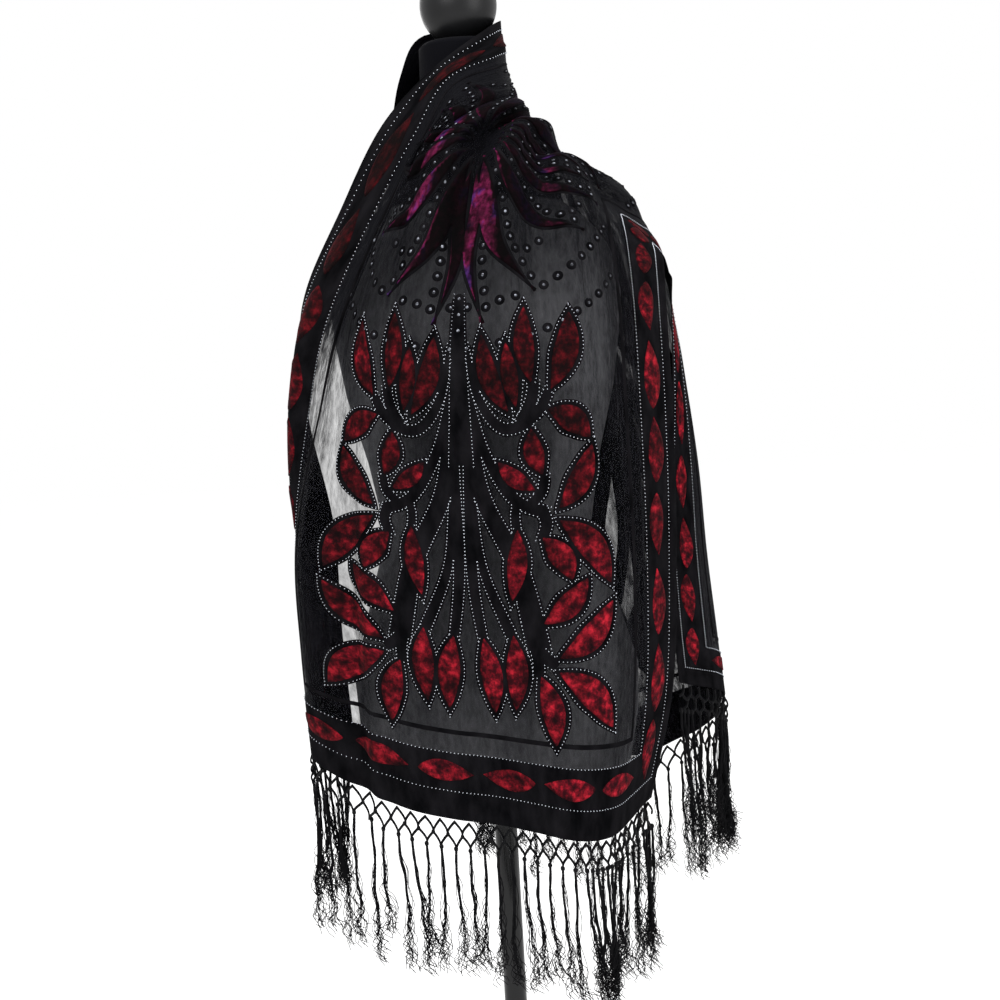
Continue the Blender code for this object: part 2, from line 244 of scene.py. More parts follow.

# Painted shade of the red pile: its brightness from the hems to the cloth's middle
PAINTED_PILE_SHADES = ((0.18, (1.0,) * 3), (0.42, (0.72,) * 3), (0.66, (0.42,) * 3), (0.9, (0.13,) * 3))

# The form's jersey, with its darker yoke above a height in metres
YOKE_AT = 1.352
YOKE_BLUR = 0.002
JERSEY_GREY = (0.155, 0.155, 0.165)
JERSEY_DARK = (0.002, 0.002, 0.003)

# The studio: the camera's aim, distance in metres and turns, and for each light its place,
# the height that it faces, its size and its power
CAMERA_TARGET = (0.016, 0.0, 0.996)
CAMERA_DISTANCE = 1.694
CAMERA_PITCH = math.radians(4.0)
CAMERA_ROLL = math.radians(3.3)
LENS_MM = 50
SENSOR_MM = 36
FLOOR_SIZE = 40
FLOOR_DROP = 0.0005
LIGHTS = {
    "key": ((-1.4, -2.4, 2.4), 1.0, 1.6, 44),
    "fill": ((2.0, -1.8, 1.5), 1.0, 1.6, 30),
    "top": ((0.3, -0.9, 3.2), 1.25, 1.4, 46),
    "back": ((-0.6, 2.8, 2.0), 1.0, 1.8, 16),
}

# Torso sections from the underside up, in metres: height, half width, half depth, centre's y.
# Each is a rounded oval of that power.
TORSO_SECTIONS = (
    (0.665, 0.150, 0.092, 0.005),
    (0.672, 0.160, 0.100, 0.005),
    (0.730, 0.171, 0.109, 0.004),
    (0.790, 0.174, 0.112, 0.003),
    (0.880, 0.149, 0.097, 0.000),
    (0.963, 0.125, 0.086, -0.002),
    (1.050, 0.140, 0.099, -0.006),
    (1.130, 0.160, 0.118, -0.012),
    (1.190, 0.170, 0.106, -0.004),
    (1.240, 0.176, 0.088, 0.004),
    (1.285, 0.169, 0.076, 0.009),
    (1.312, 0.156, 0.070, 0.011),
    (1.335, 0.134, 0.066, 0.013),
    (1.358, 0.104, 0.062, 0.013),
    (1.380, 0.077, 0.058, 0.011),
    (1.410, 0.059, 0.054, 0.007),
    (1.450, 0.052, 0.052, 0.003),
    (1.536, 0.050, 0.050, 0.000),
    (1.540, 0.046, 0.046, 0.000),
)
TORSO_POWER = 2.3

# Widths across the cloth, in cm from long edge A to long edge B, of the named columns below
COLUMNS_CM = (0.0, 7.0, 18.0, 31.0, 43.5, 56.0)

# Sections along the cloth, in cm: length from the front hem, then the points of the columns
# edge A, turn, left, middle, right and edge B. The front hem comes first, the shoulder ridge is
# at 93 cm and the back hem is last.
SECTIONS_CM = (
    (0, (-18.0, -0.6, 72.5), (-22.4, -6.2, 71.3), (-12.3, -14.1, 67.0),
     (0.4, -16.0, 63.8), (10.9, -14.9, 61.6), (17.6, -6.0, 63.4)),
    (14, (-18.6, -0.4, 85.0), (-22.8, -6.3, 83.4), (-12.6, -14.3, 80.3),
     (0.2, -16.0, 77.4), (12.6, -13.9, 75.7), (20.9, -5.2, 76.2)),
    (30, (-18.8, -0.2, 98.0), (-22.6, -6.2, 96.4), (-12.6, -14.0, 94.8),
     (0.4, -15.7, 93.0), (13.5, -13.0, 92.3), (22.3, -4.2, 93.2)),
    (46, (-20.8, -2.6, 112.5), (-19.2, -9.3, 110.9), (-12.2, -14.1, 109.3),
     (0.8, -16.0, 108.4), (13.8, -13.0, 108.8), (22.7, -4.0, 109.6)),
    (59, (-20.2, -4.8, 124.2), (-15.9, -11.0, 122.0), (-11.2, -13.4, 121.8),
     (1.3, -14.7, 121.6), (14.0, -11.6, 121.7), (22.7, -2.6, 122.4)),
    (70, (-15.2, -6.6, 134.0), (-10.4, -11.0, 132.9), (-7.6, -11.9, 133.0),
     (2.4, -12.4, 132.6), (13.6, -9.4, 131.5), (22.8, -1.2, 127.4)),
    (78, (-8.9, -7.6, 144.4), (-5.2, -10.2, 141.9), (-3.8, -10.6, 141.3),
     (3.9, -10.2, 139.6), (13.4, -7.6, 135.7), (22.7, -0.4, 128.2)),
    (84, (-2.6, -7.2, 150.4), (-1.3, -8.3, 148.2), (1.6, -8.8, 145.2),
     (5.8, -7.7, 142.6), (13.6, -5.2, 137.4), (23.0, 0.5, 128.0)),
    (89, (3.2, -4.7, 154.7), (4.0, -4.6, 151.0), (5.6, -4.6, 147.0),
     (8.6, -3.9, 142.6), (17.1, -1.9, 135.9), (23.3, 1.2, 127.6)),
    (93, (4.7, 0.6, 156.9), (5.2, 0.5, 152.6), (6.5, 0.3, 147.4),
     (9.4, 0.6, 141.6), (19.6, 1.5, 135.0), (23.6, 1.9, 126.8)),
    (97, (1.5, 5.2, 157.0), (3.0, 5.5, 153.0), (6.0, 5.3, 147.8),
     (10.2, 4.6, 141.0), (20.6, 4.3, 133.4), (23.9, 2.4, 125.8)),
    (100, (-4.4, 4.2, 156.6), (-1.0, 7.3, 152.6), (5.0, 7.6, 147.0),
     (11.5, 7.0, 140.3), (20.5, 6.0, 132.3), (24.2, 2.5, 125.3)),
    (104, (-7.4, 0.5, 151.0), (-4.8, 7.2, 147.5), (3.5, 10.0, 141.0),
     (13.5, 9.6, 135.0), (22.6, 6.8, 128.0), (24.0, 2.2, 123.0)),
    (109, (-9.5, 4.5, 142.0), (-5.6, 9.6, 138.0), (4.0, 12.8, 131.0),
     (16.0, 11.5, 126.0), (24.2, 6.5, 121.0), (23.7, 1.4, 118.5)),
    (115, (-10.5, 8.5, 129.0), (-5.0, 12.3, 124.0), (6.0, 15.0, 118.0),
     (18.5, 12.3, 115.0), (25.4, 5.3, 113.0), (23.2, 0.2, 112.0)),
    (124, (-9.8, 12.0, 111.0), (-3.5, 14.8, 107.0), (8.5, 16.3, 102.0),
     (20.5, 12.6, 101.0), (26.6, 4.5, 103.0), (22.2, -1.2, 103.0)),
    (136, (-8.3, 15.0, 94.0), (-1.5, 17.0, 90.0), (11.5, 17.2, 86.0),
     (22.5, 12.3, 87.0), (27.4, 4.5, 91.0), (21.5, -2.2, 93.0)),
    (148, (-6.8, 17.5, 80.0), (0.5, 19.0, 76.5), (13.5, 18.5, 73.0),
     (24.3, 12.8, 75.5), (28.2, 4.2, 81.0), (21.6, -2.6, 84.0)),
    (160, (-5.5, 19.0, 70.0), (1.5, 20.5, 66.0), (14.5, 20.0, 62.0),
     (25.2, 13.4, 66.0), (28.8, 4.5, 72.8), (22.0, -2.6, 76.4)),
)

# Roll of the cloth beside edge A, in cm: length from the front hem and how far it bulges to -X
ROLL_CM = ((0, 0.2), (26, 0.4), (36, 1.9), (46, 2.2), (56, 1.6), (66, 0.8), (76, 0.2), (84, 0.0))

# Folds, in cm: place across the cloth at the low and the high end, length of both ends from the
# front hem, half width and depth. A positive depth stands out of the cloth.
FOLDS_CM = (
    (10.0, 11.0, -10.0, 86.0, 2.0, 0.5),
    (17.0, 17.0, 20.0, 92.0, 2.2, 0.6),
    (23.5, 22.0, 46.0, 104.0, 1.9, 1.0),
    (28.5, 27.0, 56.0, 106.0, 1.7, -1.3),
    (33.0, 31.5, 50.0, 110.0, 1.7, 1.5),
    (37.5, 36.0, 54.0, 110.0, 1.8, -1.4),
    (42.0, 41.0, 58.0, 112.0, 1.8, 0.7),
    (47.0, 46.5, 30.0, 112.0, 2.0, -0.7),
    (20.0, 21.0, -20.0, 38.0, 3.0, 0.6),
    (30.0, 31.0, -20.0, 44.0, 3.2, -0.7),
    (40.0, 41.0, -20.0, 52.0, 3.0, 0.7),
    (12.0, 14.0, 108.0, 180.0, 3.0, 1.1),
    (22.0, 22.0, 104.0, 180.0, 3.0, -1.2),
    (31.0, 30.0, 104.0, 180.0, 2.8, 1.1),
    (38.0, 37.0, 104.0, 180.0, 2.6, -0.9),
)

# Finer creases, in the same columns as the folds above
CREASES_CM = (
    (4.0, 5.0, 20.0, 90.0, 0.9, 0.28),
    (8.8, 10.2, 40.0, 86.0, 0.7, -0.6),
    (11.2, 12.6, 42.0, 88.0, 0.8, 0.55),
    (13.5, 15.0, 30.0, 88.0, 0.8, 0.30),
    (20.5, 18.4, 46.0, 98.0, 0.8, -0.55),
    (25.8, 23.4, 54.0, 100.0, 0.7, 0.50),
    (30.5, 30.0, 64.0, 104.0, 0.7, 0.26),
    (36.8, 33.0, 50.0, 104.0, 0.8, -0.55),
    (41.0, 38.6, 46.0, 102.0, 0.8, 0.50),
    (44.6, 44.0, 40.0, 100.0, 0.9, 0.30),
    (50.5, 50.0, 20.0, 108.0, 1.0, -0.30),
    (15.0, 14.0, -30.0, 26.0, 1.4, 0.22),
    (25.5, 26.5, -24.0, 30.0, 1.2, 0.20),
    (35.0, 36.0, -30.0, 36.0, 1.3, -0.22),
    (46.0, 45.0, -24.0, 40.0, 1.5, 0.24),
    (7.0, 8.0, 104.0, 176.0, 1.2, 0.30),
    (17.0, 18.5, 110.0, 184.0, 1.3, 0.32),
    (26.5, 26.0, 112.0, 178.0, 1.2, -0.30),
    (34.5, 34.0, 106.0, 186.0, 1.2, 0.30),
    (43.0, 42.0, 110.0, 180.0, 1.3, -0.32),
    (50.0, 49.0, 108.0, 182.0, 1.2, 0.28),
    (14.6, 15.6, -16.0, 42.0, 0.8, -0.9),
    (16.3, 17.1, -14.0, 44.0, 0.7, 0.7),
    (29.4, 31.6, 60.0, 98.0, 0.8, 0.5),
    (36.2, 34.2, 62.0, 100.0, 0.8, 0.55),
    (10.5, 13.0, 104.0, 196.0, 1.2, 1.0),
    (14.5, 17.0, 102.0, 190.0, 1.1, -0.8),
    (19.5, 20.5, 100.0, 186.0, 1.2, 1.0),
    (24.0, 24.0, 102.0, 192.0, 1.1, -0.8),
    (28.5, 27.5, 104.0, 190.0, 1.3, 1.1),
    (34.0, 32.0, 100.0, 188.0, 1.1, -0.8),
    (38.5, 36.5, 100.0, 194.0, 1.1, 1.0),
    (43.0, 41.0, 106.0, 190.0, 1.2, -0.7),
)

# Leaf sprays of one half of an end panel, in cm from the middle line and from the hem: where
# each leaf starts, where its tip lies, its width and how far its spine bows to the left
SPRAY_LEAVES = (
    (5.6, 47.4, 2.0, 57.6, 2.2, 0.8),
    (6.1, 47.8, 4.8, 56.6, 1.8, 0.2),
    (7.7, 50.4, 6.8, 60.4, 2.2, 0.4),
    (9.2, 49.8, 12.0, 59.4, 2.7, -0.7),
    (9.0, 47.7, 14.0, 44.0, 2.8, 0.6),
    (8.6, 40.6, 7.2, 46.6, 2.1, 0.4),
    (7.8, 39.1, 3.4, 42.9, 2.0, 0.4),
    (9.6, 36.7, 14.2, 44.4, 2.6, -0.6),
    (9.5, 35.6, 16.0, 27.6, 3.1, 0.9),
    (8.0, 33.6, 11.4, 28.4, 2.6, 0.5),
    (5.6, 35.2, 4.8, 25.2, 2.1, 0.3),
    (7.8, 23.9, 13.2, 29.6, 2.5, -0.5),
    (9.2, 20.2, 16.3, 27.0, 2.8, -0.8),
    (9.1, 18.6, 16.3, 12.0, 3.2, 0.9),
    (7.4, 18.4, 9.3, 9.4, 2.5, 0.5),
    (4.8, 23.0, 4.9, 12.8, 2.4, 0.3),
    (1.5, 22.4, 2.7, 12.2, 2.5, 0.3),
)

# Stems of one half: width at both ends, then points in cm from the middle line and the hem
SPRAY_STEMS = (
    (1.5, 3.0, ((0.0, 61.0), (0.0, 52.0), (0.0, 42.0))),
    (0.9, 1.9, ((0.8, 55.6), (1.9, 49.8), (4.4, 46.2), (7.6, 46.8))),
    (1.2, 1.9, ((0.8, 50.5), (2.5, 43.6), (5.4, 38.2), (8.8, 36.4))),
    (1.9, 2.9, ((0.8, 47.5), (2.1, 38.6), (5.6, 30.2), (7.6, 20.6))),
    (1.9, 1.5, ((0.5, 45.0), (0.6, 36.0), (0.8, 28.0), (1.6, 21.6))),
    (1.1, 1.7, ((1.1, 38.0), (1.9, 30.0), (4.8, 22.2))),
    (1.9, 1.6, ((6.2, 46.4), (7.4, 48.8), (7.8, 51.2))),
    (1.7, 1.5, ((7.2, 46.9), (8.4, 48.1), (9.4, 50.2))),
    (1.6, 1.4, ((6.9, 37.3), (8.2, 38.8), (8.6, 40.9))),
    (1.7, 1.5, ((8.2, 36.8), (8.6, 35.2), (8.0, 33.2))),
    (1.3, 1.4, ((5.8, 37.8), (5.5, 36.4), (5.6, 34.4))),
    (1.8, 1.5, ((6.2, 23.6), (7.0, 24.2), (8.0, 24.1))),
    (1.9, 1.8, ((7.4, 21.0), (8.4, 20.0), (9.4, 19.4))),
    (1.7, 1.6, ((6.9, 22.2), (7.4, 20.0), (7.4, 17.8))),
)

# Plumes of the middle of the cloth, for one quarter: width, then points of the spine in cm from
# the cloth's middle, across and towards the hem
PLUMES = (
    (2.3, ((0.3, 3.2), (1.0, 9.6), (0.8, 15.6), (2.6, 22.6))),
    (2.9, ((0.8, 2.4), (2.4, 8.8), (4.0, 14.2), (8.6, 19.0))),
    (2.8, ((1.6, 1.9), (5.2, 6.6), (8.8, 10.4), (14.6, 12.0))),
    (2.6, ((1.9, 1.1), (6.6, 3.4), (11.6, 5.8), (17.8, 5.2))),
    (2.2, ((1.8, 0.5), (6.6, 1.0), (11.8, 2.0), (16.2, 0.9))),
)


def blended(knots, values, places):
    """Smooth values at the places, through the rows of values at the knots (cubic Hermite)."""
    knots = np.asarray(knots, float)
    values = np.asarray(values, float)
    places = np.asarray(places, float)
    slopes = np.gradient(values, knots, axis=0)
    cell = np.clip(np.searchsorted(knots, places, side="right") - 1, 0, len(knots) - 2)
    step = knots[cell + 1] - knots[cell]
    part = (places - knots[cell]) / step
    shape = (-1,) + (1,) * (values.ndim - 1)
    part = part.reshape(shape)
    step = step.reshape(shape)
    square, cube = part**2, part**3
    return (
        (2 * cube - 3 * square + 1) * values[cell]
        + (cube - 2 * square + part) * step * slopes[cell]
        + (3 * square - 2 * cube) * values[cell + 1]
        + (cube - square) * step * slopes[cell + 1]
    )


def unit(vectors):
    """The vectors at a length of 1."""
    return vectors / np.maximum(np.linalg.norm(vectors, axis=-1, keepdims=True), TINY)


def runs_along(line):
    """How far along a line each of its points is."""
    return np.concatenate([[0], np.cumsum(np.linalg.norm(np.diff(line, axis=0), axis=1))])


def fold_height(across_cm, along_cm):
    """How far the folds and creases push the cloth out at a grid of places, in cm."""
    height = np.zeros((len(along_cm), len(across_cm)))
    for low_place, high_place, low, high, half_width, depth in FOLDS_CM + CREASES_CM:
        part = (along_cm - low) / (high - low)
        fade = np.where((part > 0) & (part < 1), np.sin(math.pi * np.clip(part, 0, 1)), 0.0)
        centre = low_place + (high_place - low_place) * part
        offset = (across_cm[None, :] - centre[:, None]) / half_width
        height += depth * fade[:, None] * np.exp(-0.5 * offset**2)
    return height


def torso_reach(height, angle):
    """Distance from the torso's own centre to its surface, and that centre's y, by height."""
    table = np.array(TORSO_SECTIONS)
    heights = table[:, 0]
    half_width, half_depth, centre = (np.interp(height, heights, table[:, i]) for i in (1, 2, 3))
    reach = (
        np.abs(np.cos(angle) / half_width) ** TORSO_POWER
        + np.abs(np.sin(angle) / half_depth) ** TORSO_POWER
    ) ** (-1 / TORSO_POWER)
    return reach, centre


def clear_of_form(points):
    """The points, moved out level where they would lie in the form or too close to it."""
    height = points[..., 2]
    centre = torso_reach(height, np.zeros_like(height))[1]
    level = np.stack([points[..., 0], points[..., 1] - centre], axis=-1)
    angle = np.arctan2(level[..., 1], level[..., 0])
    distance = np.linalg.norm(level, axis=-1)
    least = torso_reach(height, angle)[0] + FORM_CLEARANCE
    moved = np.maximum(distance, least) / np.maximum(distance, TINY)
    result = points.copy()
    result[..., 0] = level[..., 0] * moved
    result[..., 1] = level[..., 1] * moved + centre
    return result


def smooth_points(across_cm, along_cm):
    """Points of the cloth without its folds, a row for each length and a column for each width."""
    knots = [row[0] for row in SECTIONS_CM]
    table = np.array([row[1:] for row in SECTIONS_CM]) * CM
    rows = blended(knots, table, along_cm)
    points = np.stack([blended(COLUMNS_CM, row, across_cm) for row in rows])
    lengths, bulges = np.array(ROLL_CM).T
    roll = np.interp(along_cm, lengths, bulges)[:, None] * CM
    points[..., 0] -= roll * np.sin(math.pi * np.clip(across_cm / COLUMNS_CM[1], 0, 1)) ** 2
    return points


def cloth_points(across_cm, along_cm):
    """Points of the cloth's middle surface, a row for each length and a column for each width."""
    further = smooth_points(across_cm, along_cm + SLOPE_STEP)
    nearer = smooth_points(across_cm, along_cm - SLOPE_STEP)
    right = smooth_points(across_cm + SLOPE_STEP, along_cm)
    left = smooth_points(across_cm - SLOPE_STEP, along_cm)
    normal = unit(np.cross(right - left, further - nearer))
    rise = fold_height(across_cm, along_cm)[..., None] * CM
    return clear_of_form(smooth_points(across_cm, along_cm) + normal * rise)


class ClothMap:
    """Points and outward normals of the draped cloth, read at any place on the flat pattern."""

    def __init__(self):
        past = TABLE_MARGIN + TABLE_STEP
        self.columns = np.arange(-TABLE_MARGIN, CLOTH_WIDTH + past, TABLE_STEP)
        self.rows = np.arange(-TABLE_MARGIN, CLOTH_LENGTH + past, TABLE_STEP)
        self.points = cloth_points(self.columns, self.rows)
        across, along = np.gradient(self.points, axis=1), np.gradient(self.points, axis=0)
        self.normals = unit(np.cross(across, along))

    def read(self, places):
        """(points, normals) at an array of places (u, v), by linear interpolation."""
        last = (len(self.columns) - LAST_CELL, len(self.rows) - LAST_CELL)
        u, v = np.clip((places - (self.columns[0], self.rows[0])) / TABLE_STEP, 0, last).T
        column, row = u.astype(int), v.astype(int)
        a, b = (u - column)[:, None], (v - row)[:, None]
        found = []
        for table in (self.points, self.normals):
            low = table[row, column] * (1 - a) + table[row, column + 1] * a
            high = table[row + 1, column] * (1 - a) + table[row + 1, column + 1] * a
            found.append(low * (1 - b) + high * b)
        return found

    def lifted(self, places, lift):
        """Points at the places, out along the normal by lift, which is one value or one a place."""
        points, normals = self.read(np.asarray(places, float))
        return points + normals * np.broadcast_to(lift, len(points))[:, None]


def in_scene(name, data):
    """A new object with that data, in the scene."""
    made = bpy.data.objects.new(name, data)
    bpy.context.scene.collection.objects.link(made)
    return made


def shown_mesh(name, points, faces, look, flat_places=None):
    """An object on the root body, with the flat pattern's places as its UV map where given."""
    mesh = bpy.data.meshes.new(name)
    points = np.asarray(points, float)
    mesh.from_pydata(points.tolist(), [], [tuple(face) for face in faces])
    mesh.shade_smooth()
    mesh.materials.append(look)
    if flat_places is not None:
        layer = mesh.uv_layers.new(name="flat")
        corners = np.empty(len(mesh.loops), int)
        mesh.loops.foreach_get("vertex_index", corners)
        layer.data.foreach_set("uv", (np.asarray(flat_places)[corners] / CM_PER_UV).ravel())
    made = in_scene(name, mesh)
    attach(made, "root")
    return made


def ring_faces(rings, sides):
    """Four-sided faces between closed rings of points that follow one another."""
    faces = []
    for low in range(0, (rings - 1) * sides, sides):
        for side in range(sides):
            after = (side + 1) % sides
            faces.append((low + side, low + after, low + sides + after, low + sides + side))
    return faces


def inside(outline, places):
    """Whether each place lies inside the closed outline, by the even-odd rule."""
    x, y = places[:, 0][:, None], places[:, 1][:, None]
    x0, y0 = outline[:, 0][None], outline[:, 1][None]
    x1, y1 = np.roll(outline[:, 0], -1)[None], np.roll(outline[:, 1], -1)[None]
    spans = (y0 > y) != (y1 > y)
    rise = np.where(y1 == y0, TINY, y1 - y0)
    crossings = spans & (x < (x1 - x0) * (y - y0) / rise + x0)
    return crossings.sum(axis=1) % 2 == 1


def even(line, step, closed=False):
    """The line's points again, evenly spaced at about that step."""
    line = np.asarray(line, float)
    if closed:
        line = np.vstack([line, line[:1]])
    runs = runs_along(line)
    count = max(2, round(runs[-1] / step) + (not closed))
    at = np.linspace(0, runs[-1], count, endpoint=not closed)
    return np.stack([np.interp(at, runs, line[:, i]) for i in (0, 1)], axis=1)


def smooth_line(points, count=24):
    """A smooth line through a few points."""
    points = np.asarray(points, float)
    return blended(np.arange(len(points)), points, np.linspace(0, len(points) - 1, count))


def left_of(line):
    """Unit vectors to the left of an open line at each of its points."""
    run = unit(np.gradient(line, axis=0))
    return np.stack([-run[:, 1], run[:, 0]], axis=1)


def grown(outline, by):
    """A closed outline that runs counter-clockwise, moved out by that much, or in if negative."""
    run = unit(np.roll(outline, -1, axis=0) - np.roll(outline, 1, axis=0))
    return outline + np.stack([run[:, 1], -run[:, 0]], axis=1) * by


def well_inside(outline, places, by):
    """Whether each place lies inside the closed outline by at least that much."""
    low, high = outline.min(axis=0), outline.max(axis=0)
    near = ((places > low) & (places < high)).all(axis=1)
    found = np.zeros(len(places), bool)
    found[near] = inside(grown(outline, -by), places[near])
    return found


def turned_left(outline):
    """The outline, run counter-clockwise."""
    x, y = outline[:, 0], outline[:, 1]
    area = (x * np.roll(y, -1) - np.roll(x, -1) * y).sum()
    return outline if area > 0 else outline[::-1]


def feather(spine, width, belly, rim=0.0):
    """A closed outline round a spine: pointed at both ends, broadest at the belly's part of it.

    With a rim, the outline keeps that much inside the whole shape.
    """
    line = smooth_line(spine, FEATHER_POINTS)
    part = np.linspace(0, 1, len(line))
    bend = math.log(0.5) / math.log(belly)
    half = width / 2 * np.sin(math.pi * part**bend) ** FEATHER_ROUNDNESS
    out = left_of(line)
    if rim:
        kept = half > rim
        line, out, half = line[kept], out[kept], half[kept] - rim
    sides = out * half[:, None]
    outline = np.vstack([line + sides, (line - sides)[-2:0:-1]])
    return turned_left(even(outline, OUTLINE_STEP, closed=True))


def leaf_spine(base, tip, bow):
    """A leaf's spine, which bows to the left and turns back a little at the tip."""
    base, tip = np.asarray(base, float), np.asarray(tip, float)
    run = tip - base
    side = np.array([-run[1], run[0]]) / np.linalg.norm(run)
    return [base + run * part + side * bow * much for part, much in LEAF_BENDS]


def ribbon_sides(points, low_width, high_width):
    """The line of a stem and half its width at each point of it."""
    line = even(smooth_line(points), STEM_STEP)
    return line, np.linspace(low_width, high_width, len(line)) / 2


def ribbon(points, low_width, high_width):
    """A stem's outline: a smooth line with a width that changes along it and round ends."""
    line, half = ribbon_sides(points, low_width, high_width)
    place = runs_along(line)
    from_end = np.minimum(place, place[-1] - place)
    part = np.clip(from_end / half, 0, 1)
    half = half * np.sqrt(np.clip(2 * part - part**2, STEM_END, 1))
    out = left_of(line) * half[:, None]
    return turned_left(np.vstack([line + out, (line - out)[::-1]]))


def mirrored(outline):
    """The outline on the other side of the lengthwise middle line."""
    return turned_left(np.stack([CLOTH_WIDTH - outline[:, 0], outline[:, 1]], axis=1))


def far_end(outline):
    """The outline at the other end of the cloth."""
    return turned_left(np.stack([outline[:, 0], CLOTH_LENGTH - outline[:, 1]], axis=1))


def at_all_corners(outlines):
    """The outlines in each of the four quarters of the cloth."""
    both = outlines + [mirrored(outline) for outline in outlines]
    return both + [far_end(outline) for outline in both]


def places_at_all_corners(places):
    """The places in each of the four quarters of the cloth."""
    both = np.vstack([places, (CLOTH_WIDTH, 0) + places * (-1, 1)])
    return np.vstack([both, (0, CLOTH_LENGTH) + both * (1, -1)])


def filled(outlines, spacing):
    """(places, faces, is_rim) of a flat mesh over the union of closed outlines."""
    low = np.min([o.min(axis=0) for o in outlines], axis=0)
    high = np.max([o.max(axis=0) for o in outlines], axis=0)
    grid = np.stack(np.meshgrid(*(np.arange(a, b, spacing) for a, b in zip(low, high))), axis=-1)
    grid = grid.reshape(-1, 2) + GRID_SHIFT
    kept = np.zeros(len(grid), bool)
    for outline in outlines:
        kept |= well_inside(outline, grid, PATCH_KEEP)
    rings = [grown(outline, -PATCH_INSET) for outline in outlines]
    places = np.vstack(outlines + rings + [grid[kept]])
    loops, start = [], 0
    for outline in outlines:
        loops.append(list(range(start, start + len(outline))))
        start += len(outline)
    flat = [Vector(place) for place in places]
    found, _, faces, _, _, owners = geometry.delaunay_2d_cdt(flat, [], loops, 1, MERGE_DISTANCE)
    places = np.array([tuple(place) for place in found])
    faces = np.array([face for face, owner in zip(faces, owners) if owner])
    sides = np.sort(np.vstack([faces[:, [0, 1]], faces[:, [1, 2]], faces[:, [2, 0]]]), axis=1)
    unique, count = np.unique(sides, axis=0, return_counts=True)
    rim = np.zeros(len(places), bool)
    rim[unique[count == 1].ravel()] = True
    return places, faces, rim


def velvet_patch(cloth, name, outlines, look, lift, spacing):
    """Pile on the cloth over the union of the outlines, rounded down at its rim."""
    places, faces, rim = filled(outlines, spacing)
    points = cloth.lifted(places, np.where(rim, EDGE_LIFT, lift))
    made = shown_mesh(name, points, faces, look, flat_places=places)
    return made


def strip(low_u, high_u, low_v, high_v):
    """A rectangle's outline with points along its sides."""
    corners = [(low_u, low_v), (high_u, low_v), (high_u, high_v), (low_u, high_v)]
    sides = [even([a, b], PATCH_STEP)[:-1] for a, b in zip(corners, corners[1:] + corners[:1])]
    return np.vstack(sides)


def border_strips():
    """The black velvet of the borders: plain margins, leaf strips and the thin inner lines."""
    far_u, far_v = CLOTH_WIDTH, CLOTH_LENGTH
    inner = SIDE_STRIP + LINE_GAP
    line_v = END_STRIP + LINE_GAP
    bands = [
        strip(0.0, far_u, 0.0, END_STRIP),
        strip(0.0, far_u, far_v - END_STRIP, far_v),
        strip(0.0, SIDE_STRIP, 0.0, far_v),
        strip(far_u - SIDE_STRIP, far_u, 0.0, far_v),
    ]
    lines = [
        strip(inner, inner + LINE_WIDTH, line_v, far_v - line_v),
        strip(far_u - inner - LINE_WIDTH, far_u - inner, line_v, far_v - line_v),
        strip(inner, far_u - inner, line_v, line_v + LINE_WIDTH),
        strip(inner, far_u - inner, far_v - line_v - LINE_WIDTH, far_v - line_v),
    ]
    return bands, lines


def waved(wave, i):
    """A leaf's unevenness, from a sine's (size, pace)."""
    size, pace = wave
    return size * math.sin(pace * i)


def border_leaves():
    """The red leaves of the borders: whole rows along the sides, and rows between them."""
    leaves = []
    length, width = SIDE_LEAF
    middle = (SIDE_MARGIN + SIDE_STRIP) / 2
    for i in range(SIDE_LEAF_COUNT):
        centre = FIRST_SIDE_LEAF + i * (CLOTH_LENGTH - 2 * FIRST_SIDE_LEAF) / (SIDE_LEAF_COUNT - 1)
        way = 1 if i % SIDE_LEAF_GROUP else -1
        size = 1 + waved(SIZE_WAVE, i)
        base = (middle + waved(SIDE_BASE_WAVE, i), centre - way * size * length / 2)
        tip = (middle + waved(SIDE_TIP_WAVE, i), centre + way * size * length / 2)
        shape = feather(leaf_spine(base, tip, SIDE_LEAF_BOW), width * size, SIDE_BELLY)
        leaves += [shape, mirrored(shape)]
    length, width = END_LEAF
    middle = (END_MARGIN + END_STRIP) / 2
    for i in range(END_LEAF_COUNT):
        centre = MIDDLE + (i - (END_LEAF_COUNT - 1) / 2) * END_LEAF_PITCH
        way = -1 if i in BACKWARD_END_LEAVES else 1
        base = (centre - way * length / 2, middle + waved(END_BASE_WAVE, i))
        tip = (centre + way * length / 2, middle + waved(END_TIP_WAVE, i))
        shape = feather(leaf_spine(base, tip, END_LEAF_BOW), width, SIDE_BELLY)
        leaves += [shape, far_end(shape)]
    return leaves


def border_beads():
    """Places of beads in two closed rows round the borders' leaf strips."""
    rows = []
    for u, v in ((SIDE_MARGIN, END_MARGIN), (SIDE_STRIP, END_STRIP)):
        corners = [(u, v), (CLOTH_WIDTH - u, v), (CLOTH_WIDTH - u, CLOTH_LENGTH - v)]
        corners.append((u, CLOTH_LENGTH - v))
        rows.append(even(corners, BEAD_PITCH, closed=True))
    return np.vstack(rows)


